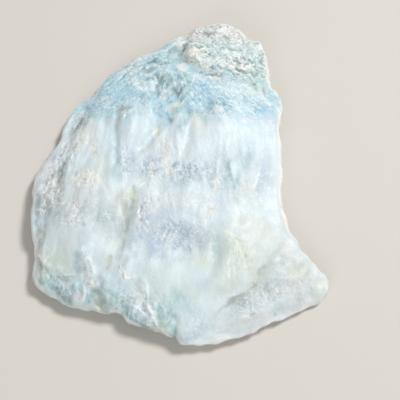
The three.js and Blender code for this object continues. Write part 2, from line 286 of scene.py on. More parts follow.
TEAL = [
    (-1.9, 19.6, 1, 2.2, 1, 15), (1, 17.3, 1.9, 2.7, 0.7), (-0.1, 28.6, 1.1, 1.6, 0.9),
    (-4.8, 26.4, 3, 1.1, 0.45, 25), (-7.1, 24.7, 1.3, 0.7, 0.5, -10), (-5.2, 21.6, 1.1, 1.3, 1),
    (1.7, 25.9, 1.3, 0.7, 0.8), (17.6, 25.9, 1.7, 3.1, 0.5, -10), (15.8, 22.5, 3, 0.9, 0.6, -5),
    (10.2, 23.5, 4.8, 0.6, 0.6, -2), (7.5, 22.5, 1.9, 0.4, 0.6), (3.7, 24.9, 1.3, 0.9, 0.3),
    (-26.6, -24.5, 3, 1.6, 0.7, -28), (-24.8, -26.6, 1.9, 1.3, 0.7, -30),
    (-21.2, -20.6, 1.1, 2.7, 0.16, -5), (-2.7, -30.2, 2.2, 2.7, 0.9), (-1.2, -33.3, 1.5, 1.8, 0.9),
    (-14.7, -27.9, 2.2, 1.6, 0.5), (-11.3, -29.8, 1.3, 1.3, 0.9, -20),
    (-6.2, -32.7, 1.9, 0.7, 0.5, -30), (1.5, 14, 2.6, 2, 0.95), (5.7, 13.5, 0.9, 3.1, 0.5),
    (-11.8, 14.7, 1.5, 0.9, 0.6), (-15.1, 7.5, 1.3, 6.2, 0.25, 2), (-11.5, 2.4, 0.9, 2.2, 0.3),
    (10.7, 0.1, 0.8, 3.1, 0.8, -12), (14.8, 1.5, 1.1, 2, 0.36), (13.3, -2.8, 1.1, 1.1, 0.4),
    (0.9, 11.2, 0.9, 2.2, 0.6), (-3.8, 10.2, 0.6, 1.8, 0.5, -40), (-19.3, 13.7, 1.1, 0.9, 0.5),
    (8, -17.6, 1.1, 3.1, 0.23, -5), (0, -27.2, 1.9, 1.6, 0.5), (2.5, -29.6, 2.6, 1.1, 0.35),
    (-3.3, -32.5, 1.1, 1.1, 0.9), (-8.8, -27.5, 1.3, 1.1, 0.4), (14.2, 18.9, 2.6, 0.7, 0.2, -10),
    (13.1, 26.4, 0.6, 0.9, 0.5), (1.1, -1.7, 2.2, 1.3, 0.3), (-20.8, 14, 1.1, 1.3, 0.4),
    (-29.2, -21.1, 1.1, 1.1, 0.3), (-25.5, -9.3, 2.6, 1.3, 0.3), (-0.9, 13.7, 1.5, 1.3, 0.5),
    (16.3, 25.9, 1.9, 2, 0.4), (-16.2, 14, 1.9, 1.3, 0.5), (-12, 12.8, 1.1, 1.1, 0.4),
    (15.5, 4.2, 1.1, 2.2, 0.27, -10), (12.9, -0.3, 0.9, 1.8, 0.5, -8), (-15.3, 14.2, 1.3, 0.9, 0.6),
    (-5.2, 20.6, 0.6, 1.6, 0.6, -10), (15.4, 28.8, 1.7, 1.6, 0.3), (5.7, 25.9, 1.1, 0.7, 0.4),
    (18.4, 16.8, 1.7, 0.9, 0.3), (2.1, -35.2, 1.7, 0.9, 0.4), (-27.9, -22.8, 0.9, 1.1, 0.45),
    (-20.9, -24.7, 0.9, 1.3, 0.3), (-14.3, -25.8, 1.1, 1.3, 0.35), (-4.8, -30.8, 0.9, 1.3, 0.8),
    (-5.9, -27.7, 0.6, 0.9, 0.4), (-9.2, -31, 2.8, 0.8, 0.8, -30), (-16.4, -27.5, 1.7, 1.6, 0.35),
    (-3, 17.7, 1.3, 1.1, 0.5), (-4.2, -31.7, 1.1, 1.3, 0.8), (-12.6, -28.7, 1.1, 0.9, 0.6),
    (18.3, 16.1, 1.7, 0.9, 0.6), (-4.7, 14, 1.1, 1.3, 0.4), (11.4, 29.3, 1.5, 0.9, 0.5),
    (9.5, 15.9, 1.3, 1.1, 0.5), (-2.1, 18.7, 1.3, 1.6, 0.75), (-3, 17.5, 0.9, 0.9, 0.6),
    (-9.2, -30.6, 1.1, 0.9, 0.5, 30), (-14.2, -28.7, 1.3, 1.1, 0.5), (-27.9, -23.6, 0.9, 1.1, 0.55),
    (6.8, 13.7, 0.9, 0.9, 0.35), (-4.7, 14, 0.9, 1.1, 0.55), (-6.6, 21.6, 0.9, 0.9, 0.5),
    (-22.9, -22.4, 0.9, 1.1, 0.35),
]
print("blue and teal spots:", len(BLUE) + len(TEAL))

# %% [markdown]
# Aqua is the same copper seen through thin milk: a wide, pale tint around the blue and along the
# south-west rim. Grey marks the places where the fibres turn clear and crystalline, and beside the
# folds it is painted shade as well.

# %% Aqua and grey zones
AQUA = [
    (-24.9, -24.7, 6.5, 2.7, 0.95, -28), (-17.4, -27, 4.8, 2.2, 0.85, -10),
    (-11.1, -27.9, 6, 2.7, 0.85, -10), (-5.4, -30.4, 4.8, 3.1, 0.85, -25), (-0.6, -28.5, 3.9, 3.6, 0.6),
    (-22.1, -19.8, 2.2, 2.7, 0.4, -10), (16.3, 24.9, 3.9, 4.5, 0.7, -15), (8.7, 28.8, 4.3, 2.2, 0.5),
    (3.5, 24.9, 3, 1.8, 0.6), (-5.5, 26.4, 6, 2.7, 0.65, 25), (1.3, 20.4, 5.6, 3.1, 0.7, -10),
    (-14.7, 7.9, 1.7, 6.7, 0.3), (-24.1, 11.6, 3.9, 1.6, 0.3, 55), (5.6, -31.7, 5.6, 2.2, 0.25),
    (-6.4, -23.6, 3.9, 2.2, 0.35), (-17, -19.8, 3.9, 2.2, 0.15), (-15.2, -9.5, 2.6, 1.8, 0.3),
    (1.3, -1.7, 6.5, 1.8, 0.3), (13.3, 1.7, 2.2, 3.6, 0.4), (10.2, 19.2, 6.5, 1.6, 0.5, -20),
    (-16.4, 13.7, 3, 2, 0.8), (-13.4, 0.6, 1.1, 3.6, 0.8), (-12, 12.6, 1.7, 1.6, 0.5),
    (15.5, 4, 1.5, 2.7, 0.4), (-4.4, 27.1, 4.3, 2, 0.85, 25), (-8.8, 24.4, 3.5, 1.8, 0.8, 25),
    (-12.7, -24.7, 9.5, 3.6, 0.35), (-25.1, -19.8, 4.3, 3.1, 0.3, -15), (-5.9, -27, 3.9, 2.2, 0.3),
    (7.9, 15.2, 1.7, 1.1, 0.4), (14.6, 21.1, 6, 1.6, 0.8, -10), (13.5, 23, 1.3, 1.1, 0.45),
    (-13.1, 13.5, 1.1, 1.1, 0.5), (-21.8, 11.2, 0.9, 1.1, 0.45, -30), (17.5, 18.7, 1.3, 1.1, 0.4, -30),
]
GREY = [
    (1.6, -13.9, 3.2, 2.7, 0.95), (-5.2, -13.3, 1.9, 1.8, 0.7), (-5.4, -16.3, 1.7, 1.8, 0.5, -8),
    (1.1, 0.1, 2.8, 2, 0.65), (-4.1, 1.5, 1.1, 1.8, 0.7), (-6.7, 0.6, 1.1, 2, 0.5),
    (-10.4, 1.5, 1.7, 2.7, 0.5), (6.6, 0.1, 1.3, 1.8, 0.4), (4.2, -1.2, 1.7, 1.1, 0.5),
    (11.3, -2.6, 1.1, 1.8, 0.5, -12), (17.6, -2.4, 0.9, 2, 0.7, -10), (8.2, -18, 1.3, 3.1, 0.5, -5),
    (-17.7, -9.3, 2.6, 2.2, 0.35), (20.6, -23.2, 3, 2.5, 0.5), (18.5, -24.5, 1.1, 1.1, 0.5),
    (13.6, -28.3, 1.7, 1.3, 0.8, 25), (17.2, -27.9, 2.2, 1.6, 0.5, 15), (21.8, -27, 4.3, 1.8, 0.5, 22),
    (-22.5, 11.6, 1.1, 1.6, 0.9, -35), (-22.3, -27, 1.1, 1.3, 0.7), (-27, -23.6, 1.3, 0.9, 0.5),
    (-10.4, -10.2, 0.9, 3.1, 0.5, -8), (-10.9, -19.8, 0.6, 2, 0.4, -20),
    (-20, -19.8, 0.9, 1.8, 0.5, -10), (11.3, -30.4, 2.6, 1.1, 0.3, 20), (-1.6, 12.6, 1.3, 1.1, 0.4),
    (18.7, 1, 2.2, 3.1, 0.25), (-7.4, -10.2, 1.5, 3.1, 0.35, -5), (-19.9, -15, 1.1, 2.7, 0.35),
    (-6.6, 24.4, 1.9, 0.7, 0.5, -5), (-10.5, 14.9, 0.9, 0.7, 0.3), (-13.8, -11.1, 2.6, 4.5, 0.45),
    (-18.6, -8, 2.6, 2, 0.3), (-8.6, -13.7, 1.1, 2.7, 0.5), (-0.5, -15.4, 1.5, 1.8, 0.3),
    (12.6, -0.8, 1.3, 2, 0.45), (13.2, -5.3, 3, 1.6, 0.3), (20.7, -19.8, 2.6, 1.8, 0.35),
    (4.6, -15, 1.7, 1.8, 0.6), (-4.8, -16.1, 1.9, 2.2, 0.6), (-9.5, -15.9, 1.3, 2.7, 0.7),
    (-13.2, 0.1, 0.9, 3.1, 0.3), (-0.8, 0.6, 1.1, 1.8, 0.55), (-4.2, 10.9, 1.3, 1.1, 0.35, -45),
    (5.7, 1.5, 1.1, 1.1, 0.25), (-30.2, -8.4, 0.9, 3.1, 0.6), (-4.3, -18, 1.9, 1.6, 0.6),
    (18.3, 0.6, 1.3, 2, 0.6), (-8.1, 3.8, 1.3, 1.8, 0.5), (-15.3, 12.1, 1.3, 1.3, 0.5),
    (-4.7, 14, 1.1, 1.3, 0.5), (0.6, 10.2, 1.3, 2.2, 0.55, -10), (2.5, -9.7, 1.7, 1.8, 0.45),
    (-28.8, -0.8, 1.1, 1.1, 0.6),
]
print("aqua and grey spots:", len(AQUA) + len(GREY))

# %% [markdown]
# Pearl is the warm grey of the flared corner. Olive and lime are iron: moss green in the folds,
# and a pale yellow-green tint in the lower middle and in the south-west.

# %% Pearl, olive and lime zones
PEARL = [
    (22.5, -22.6, 7.3, 4.9, 1, 10), (14, -31.7, 6.9, 2.7, 0.8, 20), (16.9, -20.2, 4.8, 4.5, 0.6),
    (-6.2, -2.6, 3, 1.6, 0.3), (-20.9, -5.7, 3.9, 3.1, 0.6), (-28.7, -3.9, 2.2, 4.9, 0.8),
    (-8.3, -6.8, 3, 2.2, 0.4), (20.6, -12.4, 3.5, 4.9, 0.45), (-25.8, -11.1, 4.3, 2.7, 0.4),
    (9.6, 33, 6.5, 1.6, 0.6), (24.5, -27.9, 5.2, 1.8, 0.6, 15), (-30.4, -18.3, 0.9, 4.5, 0.5),
    (-5.7, -7.3, 6.5, 1.6, 0.25), (-13.4, -11.1, 2.8, 4.5, 0.6), (-18.6, -8, 3, 2, 0.4),
    (-12.2, -6.8, 2.2, 2.9, 0.9), (-19.3, -0.8, 2.8, 2.7, 0.6), (-4, 7.5, 1.3, 2.2, 0.4),
    (15.3, -12.8, 3.9, 3.1, 0.35), (-30.2, -9.7, 0.9, 2.9, 0.7), (-30.6, -14.1, 0.6, 2.2, 0.8),
    (14.3, -5.3, 4.3, 1.8, 0.4), (22.7, -17.4, 3.5, 2.2, 0.8), (15.2, -16.3, 2.6, 1.3, 0.35),
    (5.7, -18.3, 1.7, 1.3, 0.3), (14.5, -11.5, 1.9, 1.8, 0.8), (17.9, -11.5, 1.5, 1.6, 0.5),
    (16.1, -16.7, 1.3, 1.3, 0.75),
]
OLIVE = [
    (17.7, -21.5, 2.2, 1.8, 0.7, 20), (12.7, -17.6, 3.5, 4, 0.65), (9.9, -23.6, 3.5, 2.7, 0.6, 35),
    (15.1, -24.9, 3, 1.3, 0.6, 35), (-9.9, -5.5, 1, 1.8, 0.9, -10), (-10.8, -11.1, 0.8, 2.7, 0.6, -8),
    (-12, -16.3, 0.9, 1.8, 0.4, -20), (-14.7, -19.8, 0.9, 1.6, 0.35, -25), (-0.7, 14.9, 1.1, 0.9, 0.4),
    (-29.2, -21.1, 1.1, 1.1, 0.8), (-25.9, -19.8, 3, 1.3, 0.3, -20), (-3.3, -32.3, 1.1, 1.3, 0.5),
    (17.1, 24, 2.2, 0.9, 0.4), (12.4, 23.7, 2.2, 0.7, 0.4), (4.6, 29.5, 1.1, 1.6, 0.9),
    (3.5, 27.8, 1.7, 0.4, 0.6), (8.4, -19.8, 1.1, 2, 0.4), (25.4, -19.8, 3, 1.8, 0.4, -40),
    (29.4, -26.2, 1.9, 2, 0.5), (12.4, -27.7, 1.7, 0.7, 0.6, 30), (-22.2, 8.8, 0.8, 2, 0.6, -25),
    (-29.7, -15, 0.4, 1.6, 0.6), (17.8, -17.2, 4.3, 3.1, 0.3), (5.7, 27.6, 0.6, 0.9, 0.5),
    (-3.7, 22.8, 0.9, 0.7, 0.4), (15.4, -19.8, 2.8, 2.2, 0.4), (-11.3, -6.8, 1.3, 2.2, 0.35),
    (-30.4, -14.1, 0.5, 2.2, 0.4), (22.7, -17.6, 3, 2, 0.2), (27.9, -21.5, 2.2, 2.2, 0.15),
    (0.1, 29.3, 0.9, 1.1, 0.4), (-24.8, -27, 1.5, 0.7, 0.5, -28), (-16.4, -27.5, 1.9, 2, 0.75),
    (-3.5, -33.1, 1.3, 1.1, 0.75), (5.9, -21.1, 1.5, 2, 0.5), (-29.6, -21.9, 0.9, 1.3, 0.5),
    (-17.7, -25.3, 0.9, 1.3, 0.5), (-29.6, -21.9, 0.6, 1.8, 0.6), (-17.4, -27.9, 0.8, 1.6, 0.8),
]
LIME = [
    (12.2, -18.5, 5.2, 4.9, 0.7), (10.6, -14.1, 1.1, 1.1, 1, 25), (12.7, -16.3, 0.9, 1.6, 0.9, 10),
    (4.6, -19.8, 1.7, 1.6, 0.45), (9.7, -24.5, 3, 2, 0.4, 35), (3.6, -26.8, 2.2, 1.3, 0.25, 20),
    (19.1, -13.3, 3.5, 3.1, 0.35), (-25.5, -19.8, 3, 2, 0.8, -20), (-28.8, -21.9, 1.3, 1.6, 0.8),
    (30.9, -23.8, 1.5, 2, 0.7), (26.6, -20.2, 3.2, 1.8, 0.5, -42), (-14.7, -19.8, 1.1, 2.2, 0.3, -25),
    (-16.7, 1.5, 2.2, 3.6, 0.4), (-19.6, 10.2, 1.5, 2.7, 0.4, -15), (-21.9, 6.1, 0.6, 0.7, 0.7),
    (-0.5, 15.2, 1.3, 0.9, 0.5), (5.1, 29.3, 0.9, 1.3, 0.9), (-16.6, -27.9, 1.3, 1.1, 0.2),
    (16.2, -24.3, 3.9, 2.2, 0.3, 15), (15.3, -11.1, 4.8, 2.7, 0.4), (5.9, 11.6, 1.1, 2.7, 0.4),
    (-9.9, -5.3, 1.1, 1.8, 0.6), (-3.3, -32.1, 1.3, 1.3, 0.5), (-25.2, -16.1, 3.9, 2, 0.4),
    (-14.1, -16.3, 1.3, 2.2, 0.4, -20), (-4.8, -34.2, 1.7, 0.9, 0.6, -20),
    (-12.1, -29.6, 1.7, 0.7, 0.4, -10), (15.4, -7.1, 4.8, 1.8, 0.25), (3.7, 24.9, 1.3, 0.9, 0.5),
    (-6.5, -27.5, 0.6, 2, 0.4), (-2.8, -25.3, 7.3, 4.5, 0.3), (-26.2, -18.3, 3.5, 3.6, 0.4),
    (-0.6, -33.1, 2.6, 1.8, 0.3), (-29.3, -20.2, 1.1, 2, 0.5, -5), (-4.8, -30.8, 1.1, 1.6, 0.4),
    (15.7, 20.6, 3.9, 1.3, 0.5, -12), (17.6, 24.9, 2.2, 2.2, 0.4),
]
print("pearl, olive and lime spots:", len(PEARL) + len(OLIVE) + len(LIME))

# %% [markdown]
# Ash is a neutral grey that dulls the west flank and the folds: partly the stone's own grey, partly
# painted shade where the flank slopes away from the lamp and the folds dip. Lilac is its cool
# neighbour, and gives the crystalline patches in the middle their violet cast.

# %% Ash and lilac zones
ASH = [
    (-29.4, -7.3, 1.5, 2.7, 1), (-26.6, -7.7, 2.4, 1.8, 0.7), (-25.8, 0.4, 0.9, 1.8, 0.7, -20),
    (-27.6, -0.1, 1.5, 1.6, 0.5), (-30.2, -9.9, 0.9, 3.1, 0.9), (-28.7, -3.9, 1.5, 2.7, 0.45),
    (-30.6, -14.3, 0.6, 2.7, 0.6), (-12.2, -6.8, 1.7, 2.7, 0.5), (-11.1, -9.7, 0.9, 3.6, 0.6, -5),
    (-26.1, -5.3, 1.3, 1.3, 0.4), (-22.5, 12.3, 0.9, 1.8, 0.5, -40), (-25.5, 2.9, 0.9, 2, 0.4, -30),
    (-27.5, -11.1, 2.2, 1.3, 0.3), (-18.6, -7.7, 3, 1.6, 0.25), (18.1, -24.5, 1.9, 1.3, 0.35, 20),
    (13.8, -27.9, 1.7, 1.1, 0.5, 25), (11.3, -28.5, 1.5, 0.9, 0.4, 30), (-0.8, 28.3, 1.1, 1.3, 0.4),
    (-12.3, -21.9, 0.6, 1.8, 0.3, -15), (-21.4, -3, 3, 0.9, 0.2), (0.1, 29.3, 0.9, 1.3, 0.6),
    (-7.3, 24.4, 1.1, 0.6, 0.6), (-12, 14.9, 1.5, 0.8, 0.5), (-16.4, -27.9, 1.5, 1.6, 0.4),
    (-5.9, -24.9, 1.7, 1.3, 0.25), (-5.2, 1.5, 0.9, 1.6, 0.5), (-9.6, -9.1, 1.3, 2.7, 0.65, -5),
    (-9.5, -12.8, 1.3, 2, 0.5), (5.9, -15, 1.3, 1.3, 0.5), (-14.2, -28.7, 1.5, 1.1, 0.5),
    (-24.4, -26.4, 2.4, 1.1, 0.7, -28), (-4, -11.9, 2.6, 1.8, 0.4), (-1.4, -15, 2.2, 1.3, 0.35),
    (0.8, -16.7, 1.7, 1.1, 0.45), (4.2, -15, 1.3, 1.1, 0.4), (-7.8, -11.9, 1.3, 2.2, 0.45),
    (-17.2, -12.4, 1.9, 2, 0.45), (21.5, -20.8, 3, 1.8, 0.4), (16, -20.2, 1.9, 1.3, 0.35),
    (-27.9, -23.4, 0.9, 1.1, 0.3), (-4.2, -31.9, 1.1, 1.3, 0.9), (-5.9, -28.7, 0.6, 1.1, 0.8),
    (-7.8, -13.3, 1.3, 1.3, 0.4), (-13, -11.5, 1.1, 1.3, 0.4), (-29.6, -21.9, 0.6, 1.3, 0.4),
    (15.1, 2.9, 0.6, 3.1, 0.35, -8), (8, -16.7, 1.1, 2, 0.35), (-21.2, -20.4, 1.1, 2.7, 0.35),
    (-22.7, -27, 0.9, 0.7, 0.5), (-28.1, -18.5, 0.9, 1.1, 0.45), (5, -16.7, 1.5, 1.3, 0.45),
    (-18.3, -4.4, 1.1, 1.1, 0.45), (-24.4, -27, 0.9, 0.7, 0.6, 30), (-15.5, -14.1, 1.9, 1.8, 0.35),
    (15, 17.7, 1.3, 0.7, 0.25, -30), (18.3, 16.1, 1.3, 0.7, 0.25, -30), (-15.3, 12.1, 1.3, 1.3, 0.4),
    (-17.7, -25.3, 0.9, 1.1, 0.5), (-28.8, -0.8, 0.9, 0.9, 0.8), (-17.8, -21.9, 0.9, 1.1, 0.35),
    (-24, 10.2, 0.5, 1.1, 0.5, -30), (22.8, -19.3, 1.7, 1.6, 0.65), (-13, -9.7, 1.1, 1.6, 0.45),
    (-2.9, 14, 0.9, 0.9, 0.5), (7.6, -18.5, 1.1, 1.1, 0.45), (18.1, -0.8, 1.1, 1.1, 0.4),
    (-9.6, -6.4, 1.1, 1.3, 0.6), (22.9, -16.7, 1.3, 1.1, 0.35), (-18.4, -0.8, 0.9, 0.9, 0.5),
    (-17.4, -27.9, 0.8, 1.6, 0.6),
]
LILAC = [
    (-5.4, -15, 1.7, 2.2, 0.25), (-12.2, -24.5, 1.7, 1.3, 0.3, 10), (-8.2, -30.2, 1.9, 2, 0.35, -25),
    (2.1, -34.2, 2.6, 1.3, 0.25), (5.9, 1, 0.9, 1.1, 0.5), (7, -0.8, 0.9, 1.1, 0.4),
    (2.9, 1.7, 1.3, 1.1, 0.3), (-23.6, -24.5, 1.3, 0.9, 0.35), (-20.2, -27.5, 1.1, 0.9, 0.3),
    (4.6, -24.1, 2.2, 1.6, 0.2), (9.2, -26.2, 1.3, 1.1, 0.2), (-12.7, -23.2, 1.1, 1.3, 0.25),
    (-4.6, -15.9, 1.9, 2.2, 0.4), (5.7, 1.5, 1.1, 1.3, 0.7), (-6.1, -9.5, 2.6, 1.8, 0.5),
    (-2.7, -9.3, 2.4, 1.6, 0.6), (-5, -16.1, 1.9, 1.8, 0.8), (0.3, -11.9, 2.2, 1.3, 0.45),
    (-28.7, -9.5, 1.3, 2, 0.4), (-10.7, 4.7, 1.3, 2.7, 0.35), (18.1, 1, 1.3, 2.2, 0.5),
    (2.4, 1, 1.7, 1.1, 0.4), (-9.9, 18.7, 1.1, 1.1, 0.4), (-2.1, 17.3, 1.1, 0.9, 0.4),
    (9.3, -6.2, 3, 1.3, 0.2), (-17.3, 4.7, 1.7, 1.8, 0.25), (-26.9, 4.5, 1.3, 1.8, 0.4, -40),
    (18.7, 12.8, 1.7, 0.9, 0.35), (0.3, -15.9, 1.5, 1.3, 0.7), (-3.5, -13.9, 1.5, 1.1, 0.55),
    (-9.7, -0.8, 1.1, 1.1, 0.55), (0.2, 1.9, 1.3, 1.1, 0.45), (2.4, 1.5, 1.1, 0.9, 0.4),
    (-1, -2.6, 1.3, 1.1, 0.45), (-2.7, -11.5, 1.5, 1.1, 0.75), (-4.6, 2.9, 1.1, 1.1, 0.55),
    (-8, 1, 1.3, 1.1, 0.5), (-7.8, -13.3, 1.1, 1.3, 0.85), (-6.1, -15, 1.1, 1.1, 0.7),
]
print("ash and lilac spots:", len(ASH) + len(LILAC))

# %% [markdown]
# Pink and cream are stains from the wall rock, on the crust, the flank and the knots. White is
# the milk on the backs of the bundles, where the stone is least clear; a few white spots are
# painted light on slopes that turn away from the lamp.

# %% Pink, cream and white zones
PINK = [
    (12.7, 32, 2.4, 1.6, 0.75, -40), (0.8, 31.5, 1.5, 0.7, 0.8, 30), (11.1, 25.2, 1.9, 0.9, 0.8, 5),
    (7.7, 22.3, 1.9, 0.4, 0.6, -8), (0.3, 24.9, 1.1, 1.1, 0.6), (18.9, 19.9, 0.9, 0.9, 0.7, -40),
    (14.3, 26.4, 1.3, 0.9, 0.4), (-5.8, 1, 0.6, 2, 0.6), (-7.8, -9.7, 0.6, 2.7, 0.5, -5),
    (5.9, -9.9, 0.5, 2.2, 0.7), (7.2, -8.2, 1.1, 0.7, 0.5), (-26.2, -2.4, 1.1, 1.3, 0.8),
    (-28.1, 1.5, 1.7, 1.6, 0.5, 40), (-30.2, 0.6, 0.9, 1.8, 0.6, -40), (-29.6, -3.9, 1.3, 3.1, 0.4),
    (-22.3, -7.3, 1.9, 2, 0.6), (-18.6, -23.8, 0.9, 1.3, 0.7), (-3.3, 5.4, 1.1, 1.6, 0.8, -10),
    (-2.6, 1.3, 0.8, 2, 0.5, 5), (-1.9, -6.2, 5.2, 1.8, 0.35), (14.3, -2.8, 0.9, 1.1, 0.7),
    (26, -28.3, 3.5, 1.1, 0.5, 22), (17.5, -32.1, 3.9, 0.9, 0.4, 20), (-30.1, -19.8, 0.6, 2.7, 0.6),
    (-20.8, -0.8, 1.1, 0.9, 0.5), (-21.6, -27, 0.9, 1.1, 0.4), (7.5, 16.8, 0.3, 1.1, 0.5, -20),
    (-5.1, -7.5, 4.3, 1.3, 0.3), (3.1, -6.2, 2.2, 1.3, 0.3), (8.2, 34.7, 6.9, 1.3, 0.9),
    (13.7, 32.7, 2.2, 1.3, 0.7, -40), (2.3, 32.7, 1.7, 1.1, 0.7, 30), (7.8, 33.5, 5.6, 1.3, 0.85),
    (19.3, 19.9, 1.1, 0.9, 0.5, -40),
]
CREAM = [
    (2.8, 28.6, 1.3, 0.7, 0.9, 8), (6.2, 24.4, 0.9, 0.4, 0.7), (8.2, 24.2, 0.9, 0.4, 0.7),
    (8.2, 22.3, 1.1, 0.3, 0.5, -8), (14.9, 24.7, 1.3, 0.6, 0.9), (11.8, 27.3, 0.9, 0.9, 0.6),
    (14.7, 26.4, 1.1, 0.6, 0.6), (4.1, 32.5, 1.7, 0.7, 0.4), (7.3, 32.7, 1.3, 0.4, 0.5),
    (-19, 5.4, 0.5, 1.6, 0.8), (-18.5, 3.8, 0.4, 1.1, 0.7), (-19.8, 7.9, 0.9, 3.1, 0.4, -10),
    (-4.9, 9.1, 0.6, 1.3, 0.4, 50), (-7.2, 5.6, 0.5, 0.9, 0.4, 40), (-2.6, 1.5, 0.5, 2, 0.7),
    (-1.8, 7.5, 0.5, 1.6, 0.5, -20), (-16.4, -3.3, 0.4, 2.2, 0.5, 33), (-14.8, -5.9, 0.9, 0.9, 0.4, 40),
    (-27.3, -1.9, 0.9, 0.9, 0.6), (-29.1, -18.5, 0.9, 1.8, 0.7, 8), (-20.6, -1.2, 1.9, 1.8, 0.4),
    (8.1, -2.4, 0.8, 1.3, 0.7), (16.1, -3.5, 0.6, 0.9, 0.5), (-0.5, 15.2, 1.1, 0.9, 0.3),
    (-18.4, -23.8, 0.6, 1.1, 0.5), (-11.4, -22.4, 1.1, 0.7, 0.7), (31.2, -23.8, 1.1, 1.8, 0.4),
    (29.4, -27, 1.7, 1.8, 0.3), (3.9, 11.6, 1.1, 2.2, 0.4), (-12.4, -9.1, 0.4, 1.8, 0.8),
    (-29.2, -12.4, 0.4, 1.1, 0.6), (7, -8, 0.6, 0.6, 0.6), (5.9, 26.4, 0.6, 0.7, 0.5),
    (-21.7, 7.9, 1.9, 2.5, 0.45, -20), (2.8, 26.4, 1.3, 1.1, 0.5), (3.5, 27.6, 1.5, 1.6, 0.6),
    (7.7, -36.2, 6.5, 0.7, 0.5, 5), (-29.3, -19.8, 0.9, 1.8, 0.6, -5),
    (16.2, -26.6, 1.7, 1.1, 0.25, 20), (23.8, -15.9, 0.9, 1.8, 0.5, -30),
]
